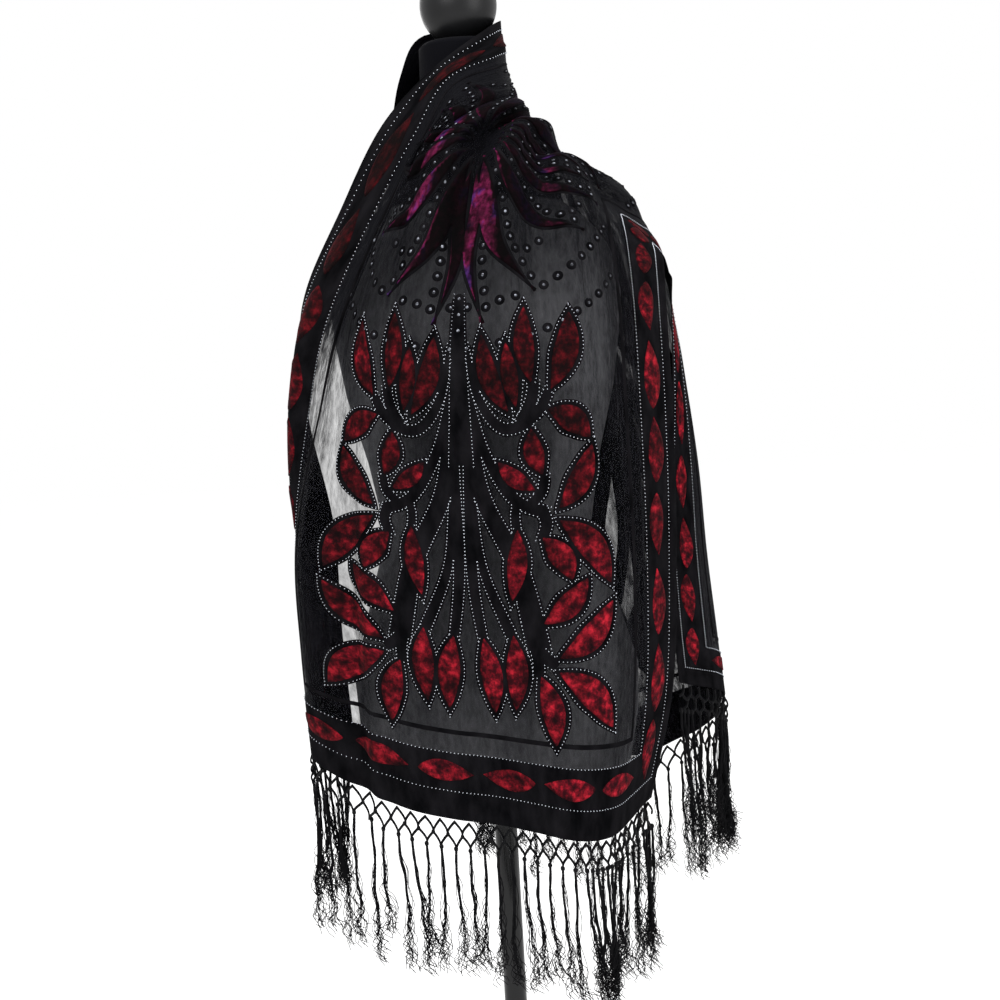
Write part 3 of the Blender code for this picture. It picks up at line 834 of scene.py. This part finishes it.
def spray_shapes():
    """(red leaves, their black outlines, black stems, the stems' bead lines) of half an end."""
    red, black = [], []
    for base_u, base_v, tip_u, tip_v, width, bow in SPRAY_LEAVES:
        base = np.array([MIDDLE + base_u, base_v])
        tip = np.array([MIDDLE + tip_u, tip_v])
        run = (tip - base) / np.linalg.norm(tip - base)
        spine = leaf_spine(base - run * LEAF_RIM, tip + run * LEAF_TIP, bow)
        black.append(feather(spine, width + 2 * LEAF_RIM, SPRAY_BELLY))
        red.append(feather(spine, width + 2 * LEAF_RIM, SPRAY_BELLY, LEAF_RIM))
    stems, lines = [], []
    for low_width, high_width, points in SPRAY_STEMS:
        points = [(MIDDLE + u, v) for u, v in points]
        stems.append(ribbon(points, low_width, high_width))
        line, half = ribbon_sides(points, low_width, high_width)
        out = left_of(line) * (half - BEAD_INSET)[:, None]
        lines += [line + out, line - out]
    return red, black, stems, lines


def bead_row(line, others, closed):
    """Places of beads along a line, without those well inside any of the other outlines."""
    places = even(line, BEAD_PITCH, closed)
    hidden = np.zeros(len(places), bool)
    for other in others:
        hidden |= well_inside(other, places, BEAD_HIDDEN)
    return places[~hidden]


def spray_beads(black, stems, lines):
    """Places of beads round the leaves and along both sides of the stems, in all quarters."""
    shapes = black + stems
    rows = []
    for shape in black:
        others = [other for other in shapes if other is not shape]
        rows.append(bead_row(grown(shape, -BEAD_INSET), others, True))
    for i, line in enumerate(lines):
        others = [other for other in shapes if other is not stems[i // 2]]
        rows.append(bead_row(line, others, False))
    return places_at_all_corners(np.vstack(rows))


def joined_beads(name, cloth, places, look):
    """Small faceted glass beads at the places, joined in one mesh."""
    ball = bpy.data.meshes.new("bead")
    shape = bmesh.new()
    bmesh.ops.create_icosphere(shape, subdivisions=1, radius=BEAD_RADIUS)
    shape.to_mesh(ball)
    shape.free()
    corners = np.array([tuple(vertex.co) for vertex in ball.vertices])
    facets = np.array([tuple(face.vertices) for face in ball.polygons])
    centres = cloth.lifted(places, PILE + BEAD_RADIUS * BEAD_SEAT)
    points = (centres[:, None, :] + corners[None]).reshape(-1, 3)
    faces = (facets[None] + np.arange(len(centres))[:, None, None] * len(corners)).reshape(-1, 3)
    made = shown_mesh(name, points, faces, look)
    return made


def loose_rings(taken, plumes):
    """Centres of the rings between the plumes and the sprays, in arcs and in a middle column."""
    centres = []
    for radius in RING_ARCS:
        count = int(2 * math.pi * radius / RING_GAP)
        turns = 2 * math.pi * np.arange(count) / count
        centres += list(np.stack([radius * np.sin(turns), radius * np.cos(turns)], axis=1))
    for i in range(RING_COLUMN):
        away = HALF_LENGTH - RING_COLUMN_FROM - RING_GAP * i
        centres += [(0, -away), (0, away)]
    centres = np.array(centres) + (MIDDLE, HALF_LENGTH)
    low = SIDE_STRIP + LINE_GAP + RING_FROM_LINE
    kept = (centres[:, 0] > low) & (centres[:, 0] < CLOTH_WIDTH - low)
    for shape in plumes:
        kept &= ~inside(grown(shape, RING_FROM_PLUME), centres)
    apart = np.linalg.norm(centres[:, None] - taken[None], axis=2).min(axis=1)
    return centres[kept & (apart > RING_FROM_RING)]


def circle(centre, radius, count):
    """A round outline."""
    turns = np.arange(count) * 2 * math.pi / count
    return np.stack([centre[0] + radius * np.cos(turns), centre[1] + radius * np.sin(turns)], axis=1)


def plume_shapes():
    """The feathers round the middle in all four quarters, and rings along one side of each."""
    shapes, rings = [], []
    for width, points in PLUMES:
        spine = [(MIDDLE + u, HALF_LENGTH - v) for u, v in points]
        shapes.append(feather(spine, width, PLUME_BELLY))
        line = even(smooth_line(spine, PLUME_POINTS), RING_GAP)
        part = np.linspace(0, 1, len(line))
        away = left_of(line) * (width / 2 * np.sin(math.pi * part) + RING_OFF_PLUME)[:, None]
        rings += list((line + away)[PLUME_RINGS])
    return at_all_corners(shapes), places_at_all_corners(np.array(rings))


class Look:
    """A node material with short helpers, whose values are numbers or other nodes' outputs."""

    def __init__(self, name):
        self.material = bpy.data.materials.new(name)
        self.material.use_nodes = True
        self.tree = self.material.node_tree
        self.shader = self.tree.nodes["Principled BSDF"]
        self.output = self.tree.nodes["Material Output"]

    def add(self, kind, **values):
        """A new node with some of its own settings."""
        node = self.tree.nodes.new(kind)
        for key, value in values.items():
            setattr(node, key, value)
        return node

    def feed(self, value, socket):
        """Set a socket to a number, or link an output to it."""
        if isinstance(value, float):
            socket.default_value = value
        else:
            self.tree.links.new(value, socket)

    def set(self, **values):
        """Set sockets of the main shader by name. A colour is (red, green, blue)."""
        for key, value in values.items():
            if isinstance(value, tuple):
                value = (*value, 1.0)
            self.shader.inputs[key.replace("_", " ")].default_value = value

    def paint(self, colour):
        """Give the main shader its colour from a node."""
        self.feed(colour, self.shader.inputs["Base Color"])

    def noise(self, scale, detail, where="UV", stretch=(1, 1, 1), roughness=0.55):
        """The value of a noise texture over the pattern's places or the object's own."""
        places = self.add("ShaderNodeTexCoord")
        mapping = self.add("ShaderNodeMapping")
        mapping.inputs["Scale"].default_value = stretch
        noise = self.add("ShaderNodeTexNoise")
        noise.inputs["Scale"].default_value = scale
        noise.inputs["Detail"].default_value = detail
        noise.inputs["Roughness"].default_value = roughness
        self.feed(places.outputs[where], mapping.inputs["Vector"])
        self.feed(mapping.outputs["Vector"], noise.inputs["Vector"])
        return noise.outputs["Fac"]

    def axes(self, vector):
        """The X, Y and Z of a vector."""
        node = self.add("ShaderNodeSeparateXYZ")
        self.feed(vector, node.inputs["Vector"])
        return node.outputs["X"], node.outputs["Y"], node.outputs["Z"]

    def pattern_place(self):
        """The place on the flat pattern: across the cloth and along it."""
        across, along, _ = self.axes(self.add("ShaderNodeTexCoord").outputs["UV"])
        return across, along

    def ramp(self, value, *stops):
        """A colour ramp over a value, from (place, colour) stops."""
        ramp = self.add("ShaderNodeValToRGB")
        line = ramp.color_ramp
        while len(line.elements) < len(stops):
            line.elements.new(0.5)
        for element, (place, colour) in zip(line.elements, stops):
            element.position = place
            element.color = (*colour, 1.0)
        self.feed(value, ramp.inputs["Fac"])
        return ramp.outputs["Color"]

    def maths(self, operation, *values, clamp=False):
        """The result of a Math node."""
        node = self.add("ShaderNodeMath", operation=operation, use_clamp=clamp)
        for value, socket in zip(values, node.inputs):
            self.feed(value, socket)
        return node.outputs["Value"]

    def ranged(self, value, low, high, least=0.0, most=1.0):
        """A value carried from the range low to high onto the range least to most."""
        span = self.add("ShaderNodeMapRange")
        numbers = {"From Min": low, "From Max": high, "To Min": least, "To Max": most}
        for name, number in numbers.items():
            span.inputs[name].default_value = number
        self.feed(value, span.inputs["Value"])
        return span.outputs["Result"]

    def lit_side(self, direction, low, high):
        """How far the pile's normal leans to a fixed direction, from 0 at low to 1 at high: a mask
        for painted light and shade by the way the pile faces.
        """
        place = self.add("ShaderNodeNewGeometry")
        dot = self.add("ShaderNodeVectorMath", operation="DOT_PRODUCT")
        dot.inputs[1].default_value = direction
        self.feed(place.outputs["Normal"], dot.inputs[0])
        return self.ranged(dot.outputs["Value"], low, high)

    def darkened(self, colour, amount, least):
        """The colour, scaled by a value between least and 1."""
        scaled = self.add("ShaderNodeVectorMath", operation="SCALE")
        self.feed(colour, scaled.inputs[0])
        self.feed(self.ranged(amount, 0.0, 1.0, least), scaled.inputs["Scale"])
        return scaled.outputs["Vector"]

    def mixed(self, amount, first, second):
        """Two shaders mixed, from all of the first at 0 to all of the second at 1."""
        node = self.add("ShaderNodeMixShader")
        self.feed(amount, node.inputs["Fac"])
        self.feed(first, node.inputs[1])
        self.feed(second, node.inputs[2])
        return node.outputs["Shader"]

    def bump(self, value, strength, distance):
        """Relief from a value on the main shader. It gives back the normal for other nodes."""
        node = self.add("ShaderNodeBump")
        node.inputs["Strength"].default_value = strength
        node.inputs["Distance"].default_value = distance
        self.feed(value, node.inputs["Height"])
        self.feed(node.outputs["Normal"], self.shader.inputs["Normal"])
        return node.outputs["Normal"]


def plain_look(name, colour, **values):
    """One colour all over, with other settings of the main shader by name."""
    look = Look(name)
    look.set(Base_Color=colour, **values)
    return look.material


def black_velvet_look():
    """Near-black pile with a faint cool sheen at grazing angles."""
    look = Look("black velvet")
    mottle = look.noise(5.0, 5.0, stretch=(1, 0.4, 1))
    look.paint(look.ramp(mottle, (0.35, (0.0010, 0.0010, 0.0013)), (0.7, (0.0060, 0.0056, 0.0066))))
    look.set(Roughness=0.95, Specular_IOR_Level=0.02)
    look.set(Sheen_Weight=0.014, Sheen_Roughness=0.3, Sheen_Tint=(0.6, 0.6, 0.68))
    look.bump(look.noise(900.0, 1.0, "Object"), 0.10, 0.0003)
    return look.material


def painted_pile_shade(look):
    """Painted shade on the pile along the cloth: full at both hems, dim at its middle over the
    shoulder, with slow uneven patches and painted light across the right border.
    """
    across, along = look.pattern_place()
    from_hem = look.maths("PINGPONG", along, HALF_LENGTH / CM_PER_UV)
    slow = look.ranged(look.noise(0.9, 2.0), 0.35, 0.65, -1.7, 1.7)
    # Painted light: the pile across the right border is made brighter, as if nearer a hem
    beside = look.ranged(across, *RIGHT_BORDER, 0.0, -2.0)
    total = look.maths("ADD", from_hem, look.maths("ADD", slow, beside))
    return look.ramp(look.ranged(total, 0.0, HALF_LENGTH / CM_PER_UV), *PAINTED_PILE_SHADES)


def red_velvet_look():
    """Crushed red pile, mottled from near black through crimson to bright red: partly the pile's own
    uneven tone and partly painted sheen, under painted light and shade.
    """
    look = Look("red velvet")
    colour = look.ramp(
        look.noise(9.0, 7.0, stretch=(1, 0.8, 1), roughness=0.66),
        (0.34, (0.006, 0.0006, 0.0014)),
        (0.45, (0.032, 0.0013, 0.0036)),
        (0.54, (0.125, 0.0032, 0.0082)),
        (0.66, (0.40, 0.011, 0.023)),
    )
    # Painted light and shade: full red where the pile faces to the front and right, down to 0.42 of
    # it where it turns away
    colour = look.darkened(colour, look.lit_side((0.25, -0.75, 0.15), 0.2, 0.85), 0.42)
    colour = look.darkened(colour, look.ranged(look.noise(2.3, 3.0), 0.36, 0.62), 0.45)
    # Painted shade along the cloth: dim towards its middle over the shoulder, with painted light at
    # the right border
    look.paint(look.darkened(colour, painted_pile_shade(look), 0.0))
    look.set(Roughness=0.85, Specular_IOR_Level=0.06)
    look.set(Sheen_Weight=0.05, Sheen_Roughness=0.35, Sheen_Tint=(0.95, 0.10, 0.14))
    look.bump(look.noise(26.0, 6.0), 0.7, 0.0012)
    return look.material


def plume_velvet_look():
    """Dark pile mottled with magenta and violet, shown as a painted highlight where the pile faces
    front, left and up, as on folds' crests; near black elsewhere.
    """
    look = Look("plume velvet")
    colour = look.ramp(
        look.noise(2.6, 6.0, stretch=(1, 0.6, 1), roughness=0.66),
        (0.36, (0.008, 0.003, 0.010)),
        (0.45, (0.048, 0.005, 0.018)),
        (0.53, (0.14, 0.010, 0.050)),
        (0.60, (0.068, 0.020, 0.13)),
        (0.70, (0.010, 0.007, 0.028)),
    )
    colour = look.darkened(colour, look.ranged(look.noise(13.0, 6.0), 0.40, 0.62), 0.25)
    # Painted highlight: the colour shows only where the pile's normal leans to the front, left and
    # up, and is darkened almost to black elsewhere
    look.paint(look.darkened(colour, look.lit_side((-0.72, -0.60, 0.25), 0.70, 0.97), 0.025))
    look.set(Roughness=0.75, Specular_IOR_Level=0.03)
    look.set(Sheen_Weight=0.02, Sheen_Roughness=0.35, Sheen_Tint=(0.6, 0.35, 0.8))
    look.bump(look.noise(26.0, 6.0), 0.6, 0.001)
    return look.material


def sheer_look():
    """Black chiffon: a crinkled weave that lets part of the light through.

    It covers more where it is seen along its face, in its folds, towards the shoulder and where
    it lies double beside the left border.
    """
    look = Look("sheer chiffon")
    look.set(Base_Color=(0.0028, 0.0028, 0.0042), Roughness=0.6, Specular_IOR_Level=0.05)
    look.set(Sheen_Weight=0.012, Sheen_Roughness=0.35, Sheen_Tint=(0.8, 0.8, 0.9))
    clear = look.add("ShaderNodeBsdfTransparent")
    glow = look.add("ShaderNodeBsdfTranslucent")
    glow.inputs["Color"].default_value = (0.009, 0.009, 0.012, 1)
    threads = look.mixed(0.3, look.shader.outputs["BSDF"], glow.outputs["BSDF"])
    folds = look.noise(3.6, 3.0, stretch=(1, 0.10, 1))
    crinkles = look.noise(17.0, 5.0, stretch=(1, 0.34, 1), roughness=0.62)
    relief = look.bump(look.maths("MULTIPLY_ADD", crinkles, 0.42, folds), 0.8, 0.010)
    facing = look.add("ShaderNodeLayerWeight")
    facing.inputs["Blend"].default_value = 0.42
    look.feed(relief, facing.inputs["Normal"])
    across, along = look.pattern_place()
    near_border = look.ranged(across, *BESIDE_BORDER, 0.42, 0.0)
    cover = look.ranged(facing.outputs["Facing"], 0.0, 1.0, 0.40, 0.99)
    for more in (
        look.ranged(folds, 0.35, 0.65, -0.10, 0.14),
        look.ranged(crinkles, 0.3, 0.7, -0.16, 0.20),
        look.ranged(along, *GATHERED_FROM_TO, 0.0, 0.34),
    ):
        cover = look.maths("ADD", cover, more)
    double = look.maths("MULTIPLY", near_border, look.ranged(along, *BESIDE_FROM_TO))
    cover = look.maths("ADD", cover, double, clamp=True)
    cloth = look.mixed(cover, clear.outputs["BSDF"], threads)
    look.feed(cloth, look.output.inputs["Surface"])
    return look.material


def foil_look():
    """The dim shiny middles of the velvet rings."""
    look = Look("ring foil")
    shade = look.noise(24.0, 2.0)
    look.paint(look.ramp(shade, (0.42, (0.02, 0.021, 0.025)), (0.64, (0.19, 0.20, 0.23))))
    look.set(Roughness=0.30, Metallic=0.8)
    return look.material


def jersey_look():
    """Charcoal jersey with a darker yoke over the shoulders and neck."""
    look = Look("form jersey")
    height = look.axes(look.add("ShaderNodeNewGeometry").outputs["Position"])[2]
    above = look.ranged(height, YOKE_AT - YOKE_BLUR, YOKE_AT + YOKE_BLUR)
    look.paint(look.ramp(above, (0.0, JERSEY_GREY), (1.0, JERSEY_DARK)))
    look.set(Roughness=0.9, Sheen_Weight=0.012, Sheen_Roughness=0.4, Specular_IOR_Level=0.04)
    look.bump(look.noise(900.0, 1.0, "Object", (1, 1, 0.3)), 0.25, 0.0004)
    return look.material


def build_torso(look):
    """The limbless form, finer than its solid and through the same sections."""
    table = np.array(TORSO_SECTIONS)
    heights = np.concatenate([np.linspace(table[0, 0], table[-1, 0], TORSO_ROWS), table[:, 0]])
    heights = np.unique(np.round(heights, HEIGHT_DIGITS))
    angles = np.arange(TORSO_SIDES) * 2 * math.pi / TORSO_SIDES
    points = []
    for height in heights:
        level = np.full(TORSO_SIDES, height)
        reach, centre = torso_reach(level, angles)
        ring = [reach * np.cos(angles), reach * np.sin(angles) + centre, level]
        points.append(np.stack(ring, axis=1))
    faces = ring_faces(len(heights), TORSO_SIDES)
    top = (len(heights) - 1) * TORSO_SIDES
    faces.append(tuple(range(TORSO_SIDES))[::-1])
    faces.append(tuple(range(top, top + TORSO_SIDES)))
    made = shown_mesh("torso", np.vstack(points), faces, look)
    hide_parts("form_torso")
    return made


def turned(name, profile, look, node, steps):
    """A turned shape from a profile of (radius, height) that runs from the top down."""
    turns = np.arange(steps) * 2 * math.pi / steps
    points = [(0, 0, profile[0][1])]
    for radius, height in profile[1:-1]:
        points += [(radius * math.cos(t), radius * math.sin(t), height) for t in turns]
    points.append((0, 0, profile[-1][1]))
    last = len(points) - 1
    faces = []
    for step in range(steps):
        after = (step + 1) % steps
        faces.append((0, 1 + step, 1 + after))
        for row in range(len(profile) - 3):
            low = 1 + row * steps
            high = low + steps
            faces.append((low + step, high + step, high + after, low + after))
        faces.append((last, last - steps + after, last - steps + step))
    made = shown_mesh(name, points, faces, look)
    made.data.set_sharp_from_angle(angle=TURNED_SHARP)
    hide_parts(node)
    return made


def build_stand(look, pole_look):
    """The neck knob, the pole and the base plate."""
    middle = NECK_TOP + SEAM + KNOB_HEIGHT / 2
    knob = [(0.0, middle + KNOB_HEIGHT / 2)]
    for i in range(1, KNOB_RINGS):
        angle = math.pi / 2 - i * math.pi / KNOB_RINGS
        if math.sin(angle) > -KNOB_FLAT_AT:
            height = middle + KNOB_HEIGHT / 2 * math.sin(angle)
            knob.append((KNOB_RADIUS * math.cos(angle), height))
    knob.append((KNOB_RADIUS * math.cos(math.asin(KNOB_FLAT_AT)), NECK_TOP + SEAM))
    knob.append((0.0, NECK_TOP + SEAM))
    turned("knob", knob, look, "neck_knob", KNOB_SIDES)
    low, high = BASE_HEIGHT + SEAM, TORSO_SECTIONS[0][0] - SEAM
    pole = [(0.0, high), (POLE_RADIUS, high), (POLE_RADIUS, low), (0.0, low)]
    turned("pole", pole, pole_look, "stand_pole", POLE_SIDES)
    plate = [(0.0, BASE_HEIGHT), (POLE_RADIUS * 2, BASE_HEIGHT)]
    for inward, share in BASE_RIM:
        plate.append((BASE_RADIUS - inward * BASE_EDGE, BASE_HEIGHT * share))
    plate += [(BASE_RADIUS, 0.0), (0.0, 0.0)]
    turned("base", plate, look, "stand_base", BASE_SIDES)


def build_sheet(cloth, look):
    """The whole cloth as one sheer sheet, which every patch lies on."""
    columns = np.arange(0.0, CLOTH_WIDTH + SHEET_STEP / 2, SHEET_STEP)
    rows = np.arange(0.0, CLOTH_LENGTH + SHEET_STEP / 2, SHEET_STEP)
    u, v = np.meshgrid(columns, rows)
    places = np.stack([u.ravel(), v.ravel()], axis=1)
    width = len(columns)
    faces = [
        (r * width + c, r * width + c + 1, (r + 1) * width + c + 1, (r + 1) * width + c)
        for r in range(len(rows) - 1)
        for c in range(width - 1)
    ]
    sheet = shown_mesh("shawl_sheer", cloth.lifted(places, 0.0), faces, look, flat_places=places)
    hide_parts("shawl_front_panel", "shawl_shoulder_wrap", "shawl_back_panel")
    return sheet


def tube(line, radius, sides):
    """(points, faces) of a thin tube along a line of 3-D points, with a radius for each point."""
    line = np.asarray(line, float)
    run = unit(np.gradient(line, axis=0))
    aside = unit(np.cross(run, TUBE_GUIDE))
    other = np.cross(run, aside)
    turns = (np.arange(sides) * 2 * math.pi / sides)[None, :, None]
    radius = np.broadcast_to(radius, len(line))[:, None, None]
    ring = aside[:, None] * np.cos(turns) + other[:, None] * np.sin(turns)
    points = (line[:, None] + ring * radius).reshape(-1, 3)
    return points, ring_faces(len(line), sides)


def knot_tube(centre, radius):
    """A small round knot on the cords."""
    along = np.linspace(-radius, radius, KNOT_RINGS)
    line = centre + np.stack([0 * along, 0 * along, KNOT_STRETCH * along], axis=1)
    return tube(line, radius * np.sqrt(KNOT_ROUNDNESS - (along / radius) ** 2), KNOT_SIDES)


class Fringe:
    """The cords, knots and threads below one hem, gathered in one mesh."""

    def __init__(self, cloth, end_v, seed):
        self.cloth = cloth
        self.end_v = end_v
        self.rng = np.random.default_rng(seed)
        self.slack = self.rng.normal(0, KNOT_UNEVEN, (SLACK_PLACES, 3))
        self.points, self.faces, self.count = [], [], 0

    def add(self, points, faces):
        """Take in one more tube."""
        self.points.append(points)
        self.faces += [tuple(i + self.count for i in face) for face in faces]
        self.count += len(points)

    def below(self, u, row):
        """The point straight below the hem at a row of the net."""
        drop = (FRINGE_STRIP / 2 + row * NET_ROW) * CM
        return self.cloth.read(np.array([[u, self.end_v]]))[0][0] - (0, 0, drop)

    def hang_cord(self, top, row, end_u, way):
        """A double cord from a knot to the next row, unless it would end past the cloth."""
        if not 0 < end_u < CLOTH_WIDTH:
            return
        low = self.below(end_u, row + 1)
        low = low + self.slack[round(2 * end_u / FRINGE_PITCH) % SLACK_PLACES]
        part = np.linspace(0, 1, CORD_STEPS)[:, None]
        bow = (way * CORD_BOW, self.rng.normal(0, CORD_UNEVEN), -CORD_SAG)
        line = top + (low - top) * part + np.sin(math.pi * part) * bow
        for side in (-CORD_OFFSET, CORD_OFFSET):
            self.add(*tube(line + (0, side, side), CORD_RADIUS, CORD_SIDES))

    def hang_net(self, knots):
        """Rows of crossing cords, each row half a pitch on from the one above."""
        for row in range(NET_ROWS):
            for knot in knots:
                u = knot - row % 2 * FRINGE_PITCH / 2
                top = self.below(np.clip(u, FRINGE_EDGE, CLOTH_WIDTH - FRINGE_EDGE), row)
                for way in (-0.5, 0.5):
                    self.hang_cord(top, row, u + way * FRINGE_PITCH, way)
                self.add(*knot_tube(top, NET_KNOT if row else HEM_KNOT))

    def hang_locks(self, knots):
        """A lock from each knot of the last row, and one more between knots in the bunches."""
        places = list(knots)
        for low, high in FRINGE_BUNCHES:
            places += [u + FRINGE_PITCH / 2 for u in places if low < u < high]
        for u in places:
            if 0 < u < CLOTH_WIDTH:
                self.hang_lock(u)

    def hang_lock(self, u):
        """A knot and the rope below it, drawn to the middle of the bunch that it is in."""
        top = self.below(u, NET_ROWS)
        lean = self.rng.normal(0, LOCK_LEAN, 2) * (1, LEAN_DEPTH)
        for low, high in FRINGE_BUNCHES:
            if low < u < high:
                lean = lean + BUNCH_PULL * (self.below((low + high) / 2, NET_ROWS) - top)[:2]
        self.add(*knot_tube(top, LOCK_KNOT))
        self.hang_rope(top, LOCK_LENGTH * CM * self.rng.uniform(*LOCK_SHARES), lean)

    def wavy_line(self, length, lean, swings):
        """A wavy way down from (0, 0, 0), with (waves, size) swings to the sides."""
        part = np.linspace(0, 1, THREAD_STEPS)[:, None]
        aside = lean * part**LEAN_BEND
        for waves, size in swings:
            turn = self.rng.uniform(0, FULL_TURN, 2)
            swing = np.sin(FULL_TURN * waves * part + turn) - np.sin(turn)
            sizes = size * self.rng.uniform(*SWING_SHARES, 2) * (1, SWING_DEPTH)
            aside = aside + sizes * swing * part**SWING_GROWTH
        return np.hstack([aside, -length * part])

    def hang_rope(self, top, length, lean):
        """A twisted rope of threads from one knot, whose lower part opens into curls."""
        rng = self.rng
        part = np.linspace(0, 1, THREAD_STEPS)
        ripple = (rng.uniform(*ROPE_RIPPLE_WAVES), ROPE_RIPPLE)
        rope = self.wavy_line(length, lean, (ROPE_SWAY, ripple))
        turns = rng.uniform(*ROPE_TURNS)
        for i in range(ROPE_THREADS + STRAY_THREADS):
            opened = rng.uniform(*ROPE_OPENS) if i < ROPE_THREADS else STRAY_OPENS
            curl = np.clip((part - opened) / (1 - opened), 0, 1) ** CURL_GROWTH
            angle = FULL_TURN * (i / ROPE_THREADS + turns * part) * (1 - curl)
            loose = ROPE_RADIUS + rng.uniform(0.0, ROPE_LOOSENESS) * curl
            line = top + rope
            line[:, 0] += loose * np.cos(angle)
            line[:, 1] += loose * np.sin(angle)
            line += curl[:, None] * rng.uniform(-SPREAD_MOST, SPREAD_MOST, 3) * SPREAD
            for axis, size in enumerate(CURL_SIZES):
                waves, turn = rng.uniform(*CURL_WAVES), rng.uniform(0, FULL_TURN)
                line[:, axis] += size * curl * np.sin(FULL_TURN * waves * part + turn)
            self.add(*tube(line, THREAD_RADIUS, THREAD_SIDES))


def fringe_piece(name, cloth, end_v, node, look, seed):
    """The rows of knotted net and the locks under them, hung below one hem."""
    count = round(CLOTH_WIDTH / FRINGE_PITCH)
    margin = (CLOTH_WIDTH - (count - 1) * FRINGE_PITCH) / 2
    knots = [margin + i * FRINGE_PITCH for i in range(count)]
    fringe = Fringe(cloth, end_v, seed)
    fringe.hang_net(knots)
    fringe.hang_locks(knots)
    made = shown_mesh(name, np.vstack(fringe.points), fringe.faces, look)
    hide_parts(node)
    return made


def photo_camera():
    """The camera at the photograph's place: a little above the form's middle, tilted and rolled."""
    forward = Vector((0, math.cos(CAMERA_PITCH), -math.sin(CAMERA_PITCH)))
    right = Vector((1, 0, 0))
    up = right.cross(forward)
    aside = right * math.cos(CAMERA_ROLL) - up * math.sin(CAMERA_ROLL)
    above = up * math.cos(CAMERA_ROLL) + right * math.sin(CAMERA_ROLL)
    lens = bpy.data.cameras.new("camera")
    lens.lens = LENS_MM
    lens.sensor_width = SENSOR_MM
    made = in_scene("camera", lens)
    place = Matrix((aside, above, -forward)).transposed().to_4x4()
    place.translation = Vector(CAMERA_TARGET) - forward * CAMERA_DISTANCE
    made.matrix_world = place
    bpy.context.scene.camera = made


def area_light(name, place, faced_height, size, power):
    """A soft square light that faces the form's axis at a height."""
    data = bpy.data.lights.new(name, "AREA")
    data.size = size
    data.energy = power
    made = in_scene(name, data)
    way = Vector((0, 0, faced_height)) - Vector(place)
    made.location = place
    made.rotation_euler = way.to_track_quat("-Z", "Y").to_euler()


def build_studio():
    """A pale floor, a white world and soft lights."""
    scene = bpy.context.scene
    scene.view_settings.view_transform = "Standard"
    white = plain_look("floor", (1.0, 1.0, 1.0), Roughness=1.0, Specular_IOR_Level=0.0)
    bpy.ops.mesh.primitive_plane_add(size=FLOOR_SIZE, location=(0, 0, -FLOOR_DROP))
    floor = bpy.context.object
    floor.name = "floor"
    floor.data.materials.append(white)
    world = bpy.data.worlds.new("white")
    world.use_nodes = True
    background = world.node_tree.nodes["Background"]
    background.inputs["Color"].default_value = (1, 1, 1, 1)
    background.inputs["Strength"].default_value = 1.0
    scene.world = world
    for name, settings in LIGHTS.items():
        area_light(name, *settings)


def velvet_pieces(cloth):
    """The velvet of the borders, sprays, plumes and rings, with the beads and foils on it."""
    velvet = black_velvet_look()
    bands, lines = border_strips()
    red, black, stems, bead_lines = spray_shapes()
    plumes, plume_rings = plume_shapes()
    feathers = [grown(shape, -PLUME_RIM) for shape in plumes]
    centres = np.vstack([plume_rings, loose_rings(plume_rings, plumes)])
    rings = [circle(centre, RING_RADIUS, RING_SIDES) for centre in centres]
    foils = [circle(centre, FOIL_RADIUS, FOIL_SIDES) for centre in centres]
    leaves = border_leaves() + at_all_corners(red)
    patches = (
        ("border_velvet", bands, velvet, PILE, PATCH_STEP),
        ("line_velvet", lines, velvet, LINE_PILE, PATCH_STEP),
        ("spray_velvet", at_all_corners(black + stems), velvet, PILE, PATCH_STEP),
        ("red_leaves", leaves, red_velvet_look(), PILE + RED_PILE, FINE_STEP),
        ("plume_velvet", plumes, velvet, PILE, FINE_STEP),
        ("plumes", feathers, plume_velvet_look(), PILE + RED_PILE, FINE_STEP),
        ("rings", rings, velvet, PILE, FINE_STEP),
        ("ring_foils", foils, foil_look(), PILE + FOIL_LIFT, FINE_STEP),
    )
    pieces = [velvet_patch(cloth, *patch) for patch in patches]
    silver = plain_look("silver glass", (0.40, 0.42, 0.46), Roughness=0.25, Metallic=0.8)
    beads = {"spray_beads": spray_beads(black, stems, bead_lines), "border_beads": border_beads()}
    pieces += [joined_beads(name, cloth, places, silver) for name, places in beads.items()]
    return pieces


def main():
    """The cloth with all that is sewn to it, the form and its stand, and the studio."""
    cloth = ClothMap()
    sheet = build_sheet(cloth, sheer_look())
    pieces = velvet_pieces(cloth)
    thread = plain_look(
        "black silk thread", (0.0028, 0.0028, 0.0034), Roughness=0.55, Specular_IOR_Level=0.06
    )
    pieces.append(fringe_piece("fringe_front", cloth, 0.0, "front_fringe", thread, FRONT_SEED))
    pieces.append(
        fringe_piece("fringe_back", cloth, CLOTH_LENGTH, "back_fringe", thread, BACK_SEED)
    )
    torso = build_torso(jersey_look())
    gloss = plain_look(
        "black gloss", (0.0045, 0.0045, 0.005), Roughness=0.38, Specular_IOR_Level=0.22
    )
    paint = plain_look(
        "gloss black paint", (0.0015, 0.0015, 0.0018), Roughness=0.12, Specular_IOR_Level=0.22
    )
    build_stand(gloss, paint)
    build_studio()
    photo_camera()


main()
